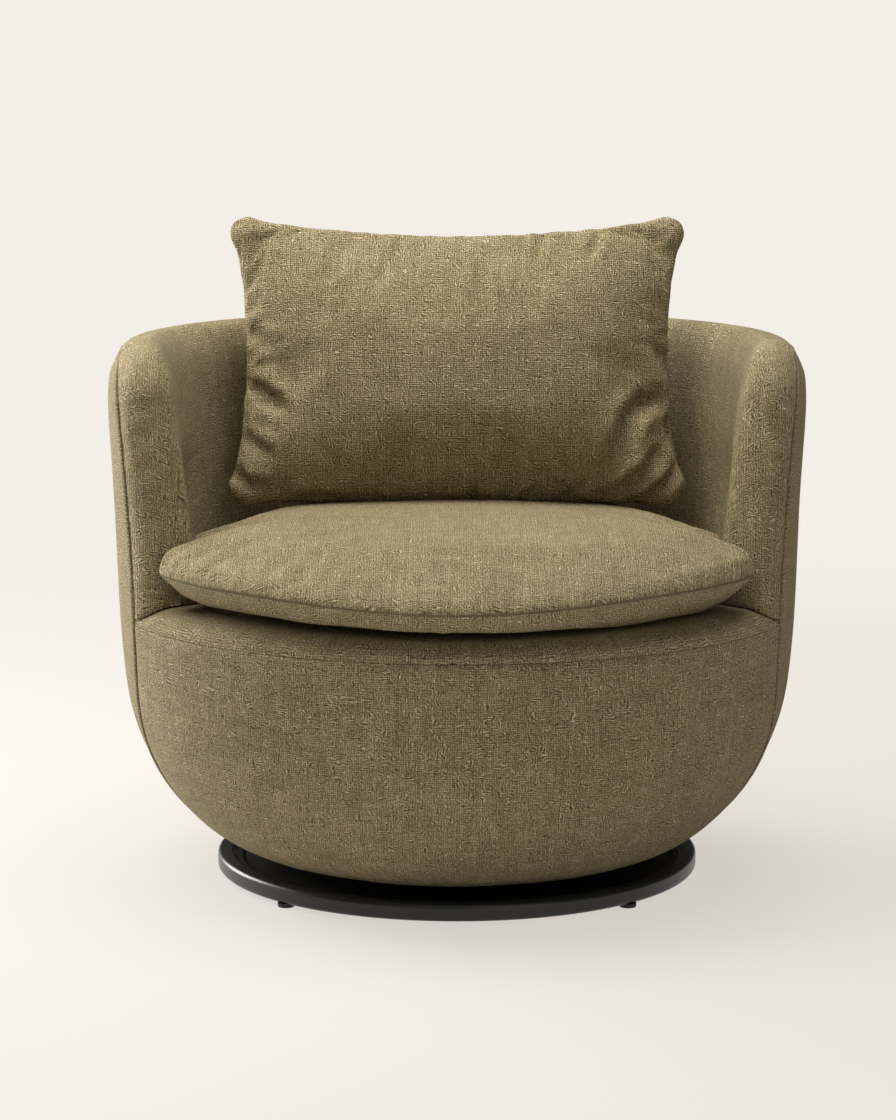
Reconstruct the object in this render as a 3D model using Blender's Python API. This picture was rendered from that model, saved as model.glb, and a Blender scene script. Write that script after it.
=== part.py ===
# Swivel lounge chair: a round upholstered tub with a loose seat cushion and a loose back pillow,
# turning on a ball bearing over a black ring base.
# Metres, Z up. The floor is Z = 0, the swivel axis is Z, and the sitter faces -Y.
# Angles round the tub are in degrees from the front, so 90 is the sitter's side and 180 the back.

import math

import bmesh
import bpy
from mathutils.bvhtree import BVHTree

# Fits
GAP = 0.0003  # between pieces that lie on each other
PIVOT_PLAY = 0.0005  # round the pivot pin
SEAM_GAP = 0.0006  # to each side of a sewn seam between two panels

# Ring on the floor, with its glides
RING_RADIUS = 0.284
RING_WIDTH = 0.019
RING_HEIGHT = 0.0205
RING_ROUNDING = 0.006
GLIDE_RADIUS = 0.010
GLIDE_HEIGHT = 0.005
GLIDE_BEVEL = 0.001
GLIDE_STEM_RADIUS = 0.0035
GLIDE_STEM_LENGTH = 0.009
GLIDE_COUNT = 4

# Dished pan inside the ring
PAN_THICKNESS = 0.003
PAN_RECESS = 0.006  # the lip below the top of the ring
PAN_LIP_WIDTH = 0.009
PAN_STEP = 0.0035  # the floor below the lip
PAN_SLOPE = 0.004  # width of each bend
HUB_RADIUS = 0.104
HUB_RISE = 0.0025

# Ball bearing
PLATE_RADIUS = 0.100
PLATE_THICKNESS = 0.002
BALL_RADIUS = 0.0035
BALL_COUNT = 12
TRACK_RADIUS = 0.072
CAGE_WIDTH = 0.014
CAGE_THICKNESS = 0.002
PIN_RADIUS = 0.0075
PIN_HEAD_RADIUS = 0.013
PIN_HEAD_HEIGHT = 0.004
BOLT_COUNT = 4
BOLT_TURN_SHARE = 0.5  # of the pitch, to set bolts and glides between the axes
BOLT_CIRCLE = 0.090
BOLT_RADIUS = 0.003
BOLT_HEAD_RADIUS = 0.0055
BOLT_HEAD_HEIGHT = 0.0025
NUT_HEIGHT = 0.004
SCREW_RADIUS = 0.002
SCREW_HEAD_RADIUS = 0.004
SCREW_HEAD_HEIGHT = 0.0022
SCREW_LENGTH = 0.012  # in the board

# Plywood frame of the tub
BOARD_THICKNESS = 0.016
RIB_THICKNESS = 0.018
RIB_DEPTH = 0.050  # of the curved part below the seat
RIB_FOOT_RADIUS = 0.150  # where the feet start on the board
RAIL_THICKNESS = 0.015
SEAT_RING_WIDTH = 0.030
SEAT_RING_THICKNESS = 0.020
SEAT_RING_DROP = 0.0274  # its top below the front seam
RIB_LEDGE = 0.017  # of a rib under the seat ring

# Sinuous springs and the battens that hold them
SPRING_COUNT = 4
SPRING_PITCH = 0.110  # from spring to spring
SPRING_WIRE_RADIUS = 0.0018
SPRING_HALF_WIDTH = 0.024
SPRING_CROWN = 0.004
SPRING_LEAD = 0.030  # straight wire at each end
SPRING_BENDS = 9
BATTEN_INSET = 0.009  # of its middle from the outside of the seat ring
BATTEN_WIDTH = 0.012
BATTEN_ANGLE = 36  # to each side

# Outside of the tub
WAIST_RADIUS = 0.398  # at the front seam
BOWL_HEIGHT = 0.2896  # from the hem to the front seam
WALL_HEIGHT = 0.253  # from there to the shoulder
WALL_FLARE = 0.0105  # how far the wall leans out over that height
SHOULDER_HEIGHT = 0.063
RIDGE_INSET = 0.0385  # from the shoulder in to the top of the rim
HEM_DROP = 0.0033  # below the underside of the board
BOWL_SHARES = (  # of the waist radius and of the bowl's height
    (0.515, 0.000),
    (0.603, 0.017),
    (0.688, 0.057),
    (0.809, 0.192),
    (0.916, 0.406),
    (0.970, 0.596),
    (0.9925, 0.865),
    (1.000, 1.000),
)
FLARE_POWER = 1.7
SEAM_HEIGHT_SHARES = (0, 0.054, 0.12, 0.30, 0.42, 0.55, 0.71, 0.90, 0.936, 0.98, 1)
SEAM_ANGLES = (84, 80.5, 76.3, 70.3, 67.6, 67.3, 68.7, 70.0, 72.7, 79.7, 84)

# Inside of the tub
WALL_THICKNESS = 0.075  # with its padding, at the deck
RIM_ROLL_WIDTH = 0.036  # from the top of the rim in to the inner wall
RIM_ROLL_HEIGHT = 0.062
INNER_PAD = 0.024
OUTER_PAD = 0.013
HEM_THICKNESS = 0.0025
HEM_TAPER = 0.060  # width over which the outer padding grows from the hem

# Arm fronts
ARM_WALL_ANGLE = 76.2  # where the arm's padding meets its post
ARM_HEIGHT_SHARES = (0.52, 0.62, 0.72, 0.82, 0.92, 1)
ARM_INNER_ANGLES = (65, 67, 70, 74, 79, 84)  # where the inner wall starts to round off
ARM_NOSE = 4.6  # angle by which the foremost line stands in front of the seam
ARM_NOSE_SHARE = 0.64  # how far out that line is, from the inner to the outer side
ARM_CROWN_DROP = 0.050  # foremost line's end below the ridge
ARM_FOOT_BLEND = 0.060  # height over which the foot follows the border
ARM_ROUND_POWER = 0.83

# Deck under the cushion
BORDER_RISE = 0.023
BORDER_WIDTH = 0.043  # of its rounded front
BORDER_DEPTH = 0.068  # from its front to the pad behind it
DUST_COVER_THICKNESS = 0.001
DUST_COVER_MARGIN = 0.002  # round the bearing and inside the hem

# Seat cushion
CUSHION_OVERHANG = 0.012  # of its seam in front of the front panel
CUSHION_PLAY = 0.0045  # between it and the inner wall
CUSHION_SEAM_HEIGHT = 0.0317  # of the front seam above the deck
CUSHION_SEAM_RISE = 0.012  # from the middle to the ears
CUSHION_HEIGHT = 0.093
CUSHION_BACK_DROP = 0.014  # the top falls this far from front to back
CUSHION_TUCK_FRONT = 0.025  # width of the undercut at the front
CUSHION_TUCK_SIDE = 0.046  # and at the ears
CUSHION_ANGLES = (0, 9, 18, 27, 36, 44, 51, 56.5, 60.2, 60.9, 61.5, 63.5, 72, 84, 98, 114, 130, 147, 164, 180)
CUSHION_RADIUS_SHARES = (1, 0.999, 0.997, 0.992, 0.986, 0.978, 0.968, 0.958, 0.948, 0.905, 0.835)
CUSHION_TOP_SHARES = (0.25, 0.5, 0.7, 0.84, 0.93, 0.98)
CUSHION_UNDER_SHARES = (0.35, 0.7)
CUSHION_TUCK_SHARES = (0.45, 0.6)  # a point halfway round the undercut
CUSHION_TOP_POWER = 4.5
CUSHION_RISE_ANGLE = 40

# Back pillow
PILLOW_WIDTH = 0.560
PILLOW_HEIGHT = 0.338
PILLOW_FRONT_SWELL = 0.080
PILLOW_BACK_SWELL = 0.088
PILLOW_SIDE_DRAW = 0.085  # share that the sides draw in
PILLOW_TOP_DRAW = 0.075  # share of its height that the top draws in
PILLOW_LEAN = 13
PILLOW_SETBACK = 0.173  # from the inner wall to its middle
PILLOW_ROWS = 12
PILLOW_COLUMNS = 16
PILLOW_SWELL_POWER = 0.5
PILLOW_TOP_POWER = 2
PILLOW_FOOT_POWER = 5

# Facets
RING_FACETS = 48
BEARING_FACETS = 36
BORE_FACETS = 12
BACK_COLUMNS = 14  # on each half of the tub
FRONT_COLUMNS = 12
FACET_SKEW = 1.4  # a skewed facet counts for this much more than its width

# Finishes: colour, roughness, metallic
FINISHES = {
    "tweed": ((0.235, 0.205, 0.125, 1), 0.95, 0.0),
    "black_steel": ((0.028, 0.029, 0.031, 1), 0.42, 0.6),
    "zinc_steel": ((0.55, 0.56, 0.57, 1), 0.35, 1.0),
    "plywood": ((0.56, 0.40, 0.24, 1), 0.70, 0.0),
    "foam": ((0.80, 0.76, 0.62, 1), 0.95, 0.0),
    "black_cloth": ((0.02, 0.02, 0.02, 1), 0.95, 0.0),
    "nylon": ((0.03, 0.03, 0.03, 1), 0.55, 0.0),
}

# Heights worked out from the sizes above
ring_bottom = GLIDE_HEIGHT
ring_top = ring_bottom + RING_HEIGHT
ring_inner = RING_RADIUS - RING_WIDTH
lip_top = ring_top - PAN_RECESS
pan_floor = lip_top - PAN_STEP
hub_top = pan_floor + HUB_RISE
lower_plate_bottom = hub_top + GAP
lower_plate_top = lower_plate_bottom + PLATE_THICKNESS
ball_height = lower_plate_top + GAP + BALL_RADIUS
upper_plate_bottom = ball_height + BALL_RADIUS + GAP
upper_plate_top = upper_plate_bottom + PLATE_THICKNESS
board_bottom = upper_plate_top + GAP
board_top = board_bottom + BOARD_THICKNESS
hem = board_bottom - HEM_DROP
waist = hem + BOWL_HEIGHT
shoulder = waist + WALL_HEIGHT
ridge = shoulder + SHOULDER_HEIGHT
tub_height = ridge - hem
shoulder_radius = WAIST_RADIUS + WALL_FLARE
ridge_radius = shoulder_radius - RIDGE_INSET
deck_top = waist + BORDER_RISE
inner_deck_radius = WAIST_RADIUS - WALL_THICKNESS
inner_top_radius = ridge_radius - RIM_ROLL_WIDTH
border_inner_radius = WAIST_RADIUS - BORDER_DEPTH
cushion_front = WAIST_RADIUS + CUSHION_OVERHANG
cushion_back = inner_deck_radius - CUSHION_PLAY
pillow_middle = inner_deck_radius - PILLOW_SETBACK
rib_floor = board_top + GAP
seat_ring_top = waist - SEAT_RING_DROP
seat_ring_bottom = seat_ring_top - SEAT_RING_THICKNESS
spring_floor = seat_ring_top + GAP
spring_space = 2 * SPRING_WIRE_RADIUS + SPRING_CROWN
deck_bottom = spring_floor + spring_space + GAP
column_step = math.radians(FACET_SKEW * SEAM_ANGLES[0] / FRONT_COLUMNS)
facet_share = math.cos(column_step / 2)  # of a facet's middle, against its corners
pad_gap = GAP + shoulder_radius * (1 - facet_share)


def material(finish):
    """The named finish, made once."""
    if finish in bpy.data.materials:
        return bpy.data.materials[finish]
    colour, roughness, metallic = FINISHES[finish]
    made = bpy.data.materials.new(finish)
    made.use_nodes = True
    shader = made.node_tree.nodes["Principled BSDF"]
    shader.inputs["Base Color"].default_value = colour
    shader.inputs["Roughness"].default_value = roughness
    shader.inputs["Metallic"].default_value = metallic
    return made


def add_object(name, data, finish, parent, location=(0, 0, 0), turn=0.0):
    """Links a mesh or curve as an object, turned about Z by an angle in radians."""
    if not data.materials:
        data.materials.append(material(finish))
    made = bpy.data.objects.new(name, data)
    made.location = location
    made.rotation_euler.z = turn
    made.parent = parent
    bpy.context.collection.objects.link(made)
    return made


def finish_mesh(bm, name, smooth_angle=40):
    """Turns the faces outwards and makes a mesh of them, shaded smooth below an angle."""
    bmesh.ops.remove_doubles(bm, verts=bm.verts, dist=GAP / 30)
    bmesh.ops.recalc_face_normals(bm, faces=bm.faces)
    mesh = bpy.data.meshes.new(name)
    bm.to_mesh(mesh)
    bm.free()
    mesh.shade_smooth()
    mesh.set_sharp_from_angle(angle=math.radians(smooth_angle))
    return mesh


def turned(name, outline, facets, closed=True):
    """A mesh turned about Z from an outline of radius and height. An open one ends on the axis."""
    bm = bmesh.new()
    verts = [bm.verts.new((radius, 0, height)) for radius, height in outline]
    ends = zip(verts, verts[1:] + verts[:1]) if closed else zip(verts, verts[1:])
    edges = [bm.edges.new(pair) for pair in ends]
    bmesh.ops.spin(
        bm,
        geom=verts + edges,
        cent=(0, 0, 0),
        axis=(0, 0, 1),
        angle=math.tau,
        steps=facets,
        use_merge=True,
    )
    return finish_mesh(bm, name)


def extruded(name, outline, thickness):
    """A flat outline of radius and height, standing on the XZ plane, made a board."""
    bm = bmesh.new()
    verts = [bm.verts.new((x, -thickness / 2, z)) for x, z in outline]
    face = bm.faces.new(verts)
    grown = bmesh.ops.extrude_face_region(bm, geom=[face])
    moved = [v for v in grown["geom"] if isinstance(v, bmesh.types.BMVert)]
    bmesh.ops.translate(bm, verts=moved, vec=(0, thickness, 0))
    return finish_mesh(bm, name)


def bridge(bm, row, other, closed=True):
    """Joins two rows of vertices with faces, leaving out what would be flat."""
    count = len(row)
    for i in range(count if closed else count - 1):
        j = (i + 1) % count
        corners = []
        for vert in (row[i], row[j], other[j], other[i]):
            if vert not in corners:
                corners.append(vert)
        if len(corners) > 2:
            bm.faces.new(corners)


def zip_row(bm, row):
    """Closes a row by joining its first vertex to its last, its second to the last but one."""
    last = len(row) - 1
    for i in range((last + 1) // 2):
        corners = []
        for vert in (row[i], row[i + 1], row[last - i - 1], row[last - i]):
            if vert not in corners:
                corners.append(vert)
        if len(corners) > 2:
            bm.faces.new(corners)


def mirrored(bm, name):
    """A mesh from the half on the +X side and its mirror image."""
    everything = bm.verts[:] + bm.edges[:] + bm.faces[:]
    bmesh.ops.mirror(bm, geom=everything, axis="X", merge_dist=GAP / 10)
    return finish_mesh(bm, name)


def arc(radius, height, wide, tall, start, end, steps):
    """Points of an ellipse's arc about a radius and height, angles in degrees, 90 upwards."""
    points = []
    for step in range(steps + 1):
        angle = math.radians(start + (end - start) * step / steps)
        points.append((radius + wide * math.cos(angle), height + tall * math.sin(angle)))
    return points


def rounded_outline(inner, outer, bottom, top, rounding, steps=2):
    """The section of a ring with rounded corners."""
    outline = []
    for radius, height, start in (
        (outer - rounding, bottom + rounding, -90),
        (outer - rounding, top - rounding, 0),
        (inner + rounding, top - rounding, 90),
        (inner + rounding, bottom + rounding, 180),
    ):
        outline += arc(radius, height, rounding, rounding, start, start + 90, steps)
    return outline


def box_outline(inner, outer, bottom, top):
    """The section of a plain flat ring."""
    return [(inner, bottom), (outer, bottom), (outer, top), (inner, top)]


def read_curve(knots, values, place):
    """A smooth curve through values at rising knots, read at one place."""
    last = len(knots) - 1
    at = next((i for i in range(last) if place <= knots[i + 1]), last - 1)
    before, after = max(at - 1, 0), min(at + 2, last)
    span = knots[at + 1] - knots[at]
    share = min(max((place - knots[at]) / span, 0), 1)
    start_slope = (values[at + 1] - values[before]) / (knots[at + 1] - knots[before]) * span
    end_slope = (values[after] - values[at]) / (knots[after] - knots[at]) * span
    square, cube = share**2, share**3
    return (
        values[at] * (2 * cube - 3 * square + 1)
        + start_slope * (cube - 2 * square + share)
        + values[at + 1] * (3 * square - 2 * cube)
        + end_slope * (cube - square)
    )


def smooth_step(share):
    """0 to 1, level at both ends."""
    share = min(max(share, 0), 1)
    return share * share * (3 - 2 * share)


def bowl_outline(rows):
    """The bowl from the hem up to the front seam, in rows of about equal length."""
    lengths = [0]
    for (r1, h1), (r2, h2) in zip(BOWL_SHARES, BOWL_SHARES[1:]):
        lengths.append(lengths[-1] + math.hypot(r2 - r1, (h2 - h1) * BOWL_HEIGHT / WAIST_RADIUS))
    radii = [WAIST_RADIUS * share for share, _ in BOWL_SHARES]
    heights = [hem + BOWL_HEIGHT * share for _, share in BOWL_SHARES]
    places = [lengths[-1] * row / rows for row in range(rows + 1)]
    return [(read_curve(lengths, radii, p), read_curve(lengths, heights, p)) for p in places]


def wall_radius(height):
    """Outside of the wall between the front seam and the shoulder."""
    share = (height - waist) / WALL_HEIGHT
    return WAIST_RADIUS + WALL_FLARE * max(share, 0) ** FLARE_POWER


def seam_angle(height):
    """Where the seam between the outer panel and the front runs, at a height."""
    return read_curve(SEAM_HEIGHT_SHARES, SEAM_ANGLES, (height - hem) / tub_height)


def arm_inner_angle(height):
    """Where the inner wall starts to round off into the arm's front, at a height."""
    return read_curve(ARM_HEIGHT_SHARES, ARM_INNER_ANGLES, (height - hem) / tub_height)


def inset(points, depths):
    """Points moved square to their line, towards its left, each by its own depth."""
    moved = []
    for i, (radius, height) in enumerate(points):
        before, after = points[max(i - 1, 0)], points[min(i + 1, len(points) - 1)]
        along_r, along_h = after[0] - before[0], after[1] - before[1]
        length = math.hypot(along_r, along_h)
        moved.append((radius - depths[i] * along_h / length, height + depths[i] * along_r / length))
    return moved


def on_tub(radius, angle, height):
    """The point at a radius, an angle from the front and a height."""
    turn = math.radians(angle)
    return (radius * math.sin(turn), -radius * math.cos(turn), height)


def gap_angle(radius):
    """The angle that the gap beside a seam takes up at a radius."""
    return math.degrees(SEAM_GAP / radius)


BOWL_ROWS = 7
WALL_ROWS = 4
SHOULDER_ANGLES = (0, 27, 54, 72)  # the outer panel's top seam is at the last but one
outer_line = (
    bowl_outline(BOWL_ROWS)
    + [
        (wall_radius(waist + WALL_HEIGHT * row / WALL_ROWS), waist + WALL_HEIGHT * row / WALL_ROWS)
        for row in range(1, WALL_ROWS)
    ]
    + [
        (
            ridge_radius + RIDGE_INSET * math.cos(math.radians(angle)),
            shoulder + SHOULDER_HEIGHT * math.sin(math.radians(angle)),
        )
        for angle in SHOULDER_ANGLES
    ]
)
outer_depths = [
    HEM_THICKNESS
    + (OUTER_PAD - HEM_THICKNESS) * smooth_step((radius - outer_line[0][0]) / HEM_TAPER)
    for radius, _ in outer_line
]
hidden_line = inset(outer_line, outer_depths)
hidden_line[BOWL_ROWS] = (WAIST_RADIUS - OUTER_PAD, waist)
outer_line, hidden_line = (
    line[:-2] + [(line[-2][0], line[-2][1] - pad_gap)] for line in (outer_line, hidden_line)
)


def line_radius(line, height):
    """The radius at a height on a line of points that rises."""
    height = min(max(height, line[0][1]), line[-1][1])
    for (r1, h1), (r2, h2) in zip(line, line[1:]):
        if height <= h2:
            break
    return r1 + (r2 - r1) * (height - h1) / (h2 - h1)


def hidden_radius(height):
    """Inside of the outer padding at a height, as its facets leave it."""
    return line_radius(hidden_line, height) * facet_share


def inner_radius(height):
    """Inner wall between the deck and the rim's roll."""
    roll = ridge - RIM_ROLL_HEIGHT
    if height > roll:
        rise = min((height - roll) / RIM_ROLL_HEIGHT, 1)
        return ridge_radius - RIM_ROLL_WIDTH * math.sqrt(1 - rise**2)
    share = (height - deck_top) / (roll - deck_top)
    return inner_deck_radius + (inner_top_radius - inner_deck_radius) * share


def circle_of(count, offset=0.0):
    """Angles in radians of pieces spread evenly on a circle."""
    return [math.tau * (number + offset) / count for number in range(count)]


def cutter(name, data, location):
    """A hidden shape that a Boolean subtracts."""
    made = add_object(name, data, "nylon", None, location)
    made.hide_render = True
    made.display_type = "WIRE"
    return made


def cut_holes(piece, name, radius, bottom, top, circle, angles):
    """Drills round holes on a circle about Z. One mesh holds all the drills."""
    bm = bmesh.new()
    for angle in angles:
        made = bmesh.ops.create_cone(
            bm,
            cap_ends=True,
            segments=BORE_FACETS,
            radius1=radius,
            radius2=radius,
            depth=top - bottom,
        )
        place = (circle * math.cos(angle), circle * math.sin(angle), (top + bottom) / 2)
        bmesh.ops.translate(bm, verts=made["verts"], vec=place)
    drills = cutter(name, finish_mesh(bm, name), (0, 0, 0))
    cut = piece.modifiers.new("holes", "BOOLEAN")
    cut.operation = "DIFFERENCE"
    cut.solver = "EXACT"
    cut.object = drills


def make_ring(base):
    """The ring, drilled from below for the stems of its glides."""
    outline = rounded_outline(ring_inner, RING_RADIUS, ring_bottom, ring_top, RING_ROUNDING)
    ring = add_object("base_ring", turned("base_ring", outline, RING_FACETS), "black_steel", base)
    angles = circle_of(GLIDE_COUNT, BOLT_TURN_SHARE)
    hole_top = GLIDE_HEIGHT + GLIDE_STEM_LENGTH
    hole_bottom = ring_bottom - GLIDE_HEIGHT
    middle = RING_RADIUS - RING_WIDTH / 2
    cut_holes(
        ring, "glide_drills", GLIDE_STEM_RADIUS + GAP, hole_bottom, hole_top, middle, angles
    )


def make_glides(base):
    """Four floor glides, pressed into the underside of the ring."""
    top = GLIDE_HEIGHT - GAP
    outline = [
        (0, 0),
        (GLIDE_RADIUS - GLIDE_BEVEL, 0),
        (GLIDE_RADIUS, GLIDE_BEVEL),
        (GLIDE_RADIUS, top),
        (GLIDE_STEM_RADIUS, top),
        (GLIDE_STEM_RADIUS, top + GLIDE_STEM_LENGTH),
        (0, top + GLIDE_STEM_LENGTH),
    ]
    mesh = turned("floor_glide", outline, BORE_FACETS, closed=False)
    middle = RING_RADIUS - RING_WIDTH / 2
    for number, angle in enumerate(circle_of(GLIDE_COUNT, BOLT_TURN_SHARE), 1):
        place = (middle * math.cos(angle), middle * math.sin(angle), 0)
        add_object(f"floor_glide_{number}", mesh, "nylon", base, place)


def make_pan(base):
    """The dished steel pan: a lip against the ring, a floor and a raised hub."""
    outer = ring_inner - GAP
    upper = [
        (outer, lip_top),
        (outer - PAN_LIP_WIDTH, lip_top),
        (outer - PAN_LIP_WIDTH - PAN_SLOPE, pan_floor),
        (HUB_RADIUS + PAN_SLOPE, pan_floor),
        (HUB_RADIUS, hub_top),
        (PIN_RADIUS + GAP, hub_top),
    ]
    lower = [(radius, height - PAN_THICKNESS) for radius, height in reversed(upper)]
    pan = add_object("base_pan", turned("base_pan", upper + lower, RING_FACETS), "black_steel", base)
    bottom, top = pan_floor - 2 * PAN_THICKNESS, hub_top + PAN_THICKNESS
    turns = circle_of(BOLT_COUNT, BOLT_TURN_SHARE)
    cut_holes(pan, "pan_drills", BOLT_RADIUS + GAP, bottom, top, BOLT_CIRCLE, turns)


def make_plates(base, tub):
    """The two pressed plates of the bearing, each drilled for its fasteners."""
    for name, body, bottom, bore, hole, offset in (
        ("lower_bearing_plate", base, lower_plate_bottom, PIN_RADIUS + GAP, BOLT_RADIUS, BOLT_TURN_SHARE),
        ("upper_bearing_plate", tub, upper_plate_bottom, PIN_RADIUS + PIVOT_PLAY, SCREW_RADIUS, 0),
    ):
        top = bottom + PLATE_THICKNESS
        outline = box_outline(bore, PLATE_RADIUS, bottom, top)
        plate = add_object(name, turned(name, outline, BEARING_FACETS), "zinc_steel", body)
        cut_holes(
            plate,
            name + "_drills",
            hole + GAP,
            bottom - PLATE_THICKNESS,
            top + PLATE_THICKNESS,
            BOLT_CIRCLE,
            circle_of(BOLT_COUNT, offset),
        )


def make_pivot(base):
    """The pin that holds the plates together: a nut under the pan and a head over both plates."""
    nut_top = hub_top - PAN_THICKNESS - GAP
    head_bottom = upper_plate_top + GAP
    outline = [
        (0, nut_top - NUT_HEIGHT),
        (PIN_HEAD_RADIUS, nut_top - NUT_HEIGHT),
        (PIN_HEAD_RADIUS, nut_top),
        (PIN_RADIUS, nut_top),
        (PIN_RADIUS, head_bottom),
        (PIN_HEAD_RADIUS, head_bottom),
        (PIN_HEAD_RADIUS, head_bottom + PIN_HEAD_HEIGHT),
        (0, head_bottom + PIN_HEAD_HEIGHT),
    ]
    mesh = turned("pivot_pin", outline, BORE_FACETS * 2, closed=False)
    add_object("pivot_pin", mesh, "zinc_steel", base)


def make_base_bolts(base):
    """Bolts with their nuts, through the lower plate and the hub of the pan."""
    nut_top = hub_top - PAN_THICKNESS - GAP
    head_bottom = lower_plate_top + GAP
    outline = [
        (0, nut_top - NUT_HEIGHT),
        (BOLT_HEAD_RADIUS, nut_top - NUT_HEIGHT),
        (BOLT_HEAD_RADIUS, nut_top),
        (BOLT_RADIUS, nut_top),
        (BOLT_RADIUS, head_bottom),
        (BOLT_HEAD_RADIUS, head_bottom),
        (BOLT_HEAD_RADIUS - BOLT_HEAD_HEIGHT / 2, head_bottom + BOLT_HEAD_HEIGHT),
        (0, head_bottom + BOLT_HEAD_HEIGHT),
    ]
    mesh = turned("base_bolt", outline, BORE_FACETS, closed=False)
    for number, angle in enumerate(circle_of(BOLT_COUNT, BOLT_TURN_SHARE), 1):
        place = (BOLT_CIRCLE * math.cos(angle), BOLT_CIRCLE * math.sin(angle), 0)
        add_object(f"base_bolt_{number}", mesh, "zinc_steel", base, place)


def make_plate_screws(tub):
    """Screws up through the upper plate into the board."""
    top = board_bottom + SCREW_LENGTH
    head_top = upper_plate_bottom - GAP
    outline = [
        (0, head_top - SCREW_HEAD_HEIGHT),
        (SCREW_HEAD_RADIUS - SCREW_HEAD_HEIGHT / 2, head_top - SCREW_HEAD_HEIGHT),
        (SCREW_HEAD_RADIUS, head_top),
        (SCREW_RADIUS, head_top),
        (SCREW_RADIUS, top - SCREW_RADIUS),
        (0, top),
    ]
    mesh = turned("plate_screw", outline, BORE_FACETS, closed=False)
    for number, angle in enumerate(circle_of(BOLT_COUNT), 1):
        place = (BOLT_CIRCLE * math.cos(angle), BOLT_CIRCLE * math.sin(angle), 0)
        add_object(f"plate_screw_{number}", mesh, "zinc_steel", tub, place)


def make_balls(cage_axis):
    """The cage between the plates, with a ball running in each of its holes."""
    outline = box_outline(
        TRACK_RADIUS - CAGE_WIDTH / 2,
        TRACK_RADIUS + CAGE_WIDTH / 2,
        ball_height - CAGE_THICKNESS / 2,
        ball_height + CAGE_THICKNESS / 2,
    )
    cage = add_object("ball_cage", turned("ball_cage", outline, BEARING_FACETS), "nylon", cage_axis)
    angles = circle_of(BALL_COUNT)
    hole = (BALL_RADIUS + GAP) / math.cos(math.pi / BORE_FACETS)
    bottom, top = ball_height - CAGE_THICKNESS, ball_height + CAGE_THICKNESS
    cut_holes(cage, "ball_drills", hole, bottom, top, TRACK_RADIUS, angles)
    bm = bmesh.new()
    bmesh.ops.create_icosphere(bm, subdivisions=2, radius=BALL_RADIUS)
    mesh = finish_mesh(bm, "bearing_ball", 80)
    for number, angle in enumerate(angles, 1):
        place = (TRACK_RADIUS * math.cos(angle), TRACK_RADIUS * math.sin(angle), ball_height)
        add_object(f"bearing_ball_{number:02d}", mesh, "zinc_steel", cage_axis, place)


def make_board(tub):
    """The round bottom board, bored for the pivot's head and drilled for the plate's screws."""
    radius = hidden_radius(board_bottom) - GAP
    outline = box_outline(PIN_HEAD_RADIUS + BOLT_RADIUS, radius, board_bottom, board_top)
    board = add_object("bottom_board", turned("bottom_board", outline, RING_FACETS), "plywood", tub)
    bottom, top = board_bottom - PLATE_THICKNESS, board_bottom + SCREW_LENGTH + GAP
    cut_holes(
        board, "board_drills", SCREW_RADIUS + GAP, bottom, top, BOLT_CIRCLE, circle_of(BOLT_COUNT)
    )


def rib_outline(top):
    """A rib's section: its foot on the board, the curve behind the padding and the seat's ledge."""
    heights = [h for _, h in hidden_line if rib_floor < h < top] + [top]
    outer = [(hidden_radius(h) - GAP, h) for h in [rib_floor] + heights]
    ledge = seat_ring_bottom - GAP
    seat_radius = seat_ring_outer + GAP
    curve = [(r - RIB_DEPTH, h) for r, h in outer if rib_floor + RIB_DEPTH < h < ledge - RIB_DEPTH / 2]
    inner = [(RIB_FOOT_RADIUS, rib_floor)]
    inner += [(RIB_FOOT_RADIUS, rib_floor + RIB_THICKNESS)]
    inner += curve
    inner += [(seat_radius - RIB_LEDGE, ledge), (seat_radius, ledge)]
    back = [point for point in hook[:1:-1] if seat_ring_top < point[1] < top]
    inner += [(max(line_radius(hook[:1:-1], h) + GAP, seat_radius), h) for _, h in back]
    inner += [(line_radius(hook[:1:-1], top) + GAP if back else seat_radius, top)]
    return outer + inner[::-1]


def make_ribs(tub):
    """Upright plywood ribs: short ones under the front, arm posts, and tall ones round the back."""
    post_radius = inner_deck_radius + INNER_PAD
    post_angle = ARM_WALL_ANGLE + math.degrees((RIB_THICKNESS / 2 + GAP) / post_radius)
    tall = extruded("rib", rib_outline(rail_bottom - GAP), RIB_THICKNESS)
    short = extruded("front_rib", rib_outline(seat_ring_top), RIB_THICKNESS)
    for name, mesh, angle in (
        ("front_rib_1", short, -38),
        ("front_rib_2", short, 0),
        ("front_rib_3", short, 38),
        ("arm_post_left", tall, post_angle),
        ("arm_post_right", tall, -post_angle),
        ("back_rib_1", tall, 104),
        ("back_rib_2", tall, 142),
        ("back_rib_3", tall, 180),
        ("back_rib_4", tall, -142),
        ("back_rib_5", tall, -104),
    ):
        add_object(name, mesh, "plywood", tub, turn=math.radians(angle - 90))


def half_band(name, outline, start, columns):
    """A section swept round the back, from an angle at one arm to the same at the other."""
    bm = bmesh.new()
    rows = []
    for column in range(columns + 1):
        angle = start + (180 - start) * column / columns
        rows.append([bm.verts.new(on_tub(r, angle, h)) for r, h in outline])
    for row, other in zip(rows, rows[1:]):
        bridge(bm, row, other)
    bm.faces.new(rows[0])
    return mirrored(bm, name)


def make_rails(tub):
    """The hoop that carries the seat, and the rail round the top of the back and arms."""
    outline = box_outline(
        seat_ring_outer - SEAT_RING_WIDTH, seat_ring_outer, seat_ring_bottom, seat_ring_top
    )
    add_object("seat_ring", turned("seat_ring", outline, RING_FACETS), "plywood", tub)
    outer = hidden_radius(rail_top) - GAP
    inner = (rail_seat + GAP) / facet_share
    outline = box_outline(inner, outer, rail_bottom, rail_top)
    mesh = half_band("top_rail", outline, ARM_WALL_ANGLE + 1, BACK_COLUMNS)
    add_object("top_rail", mesh, "plywood", tub)


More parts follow.
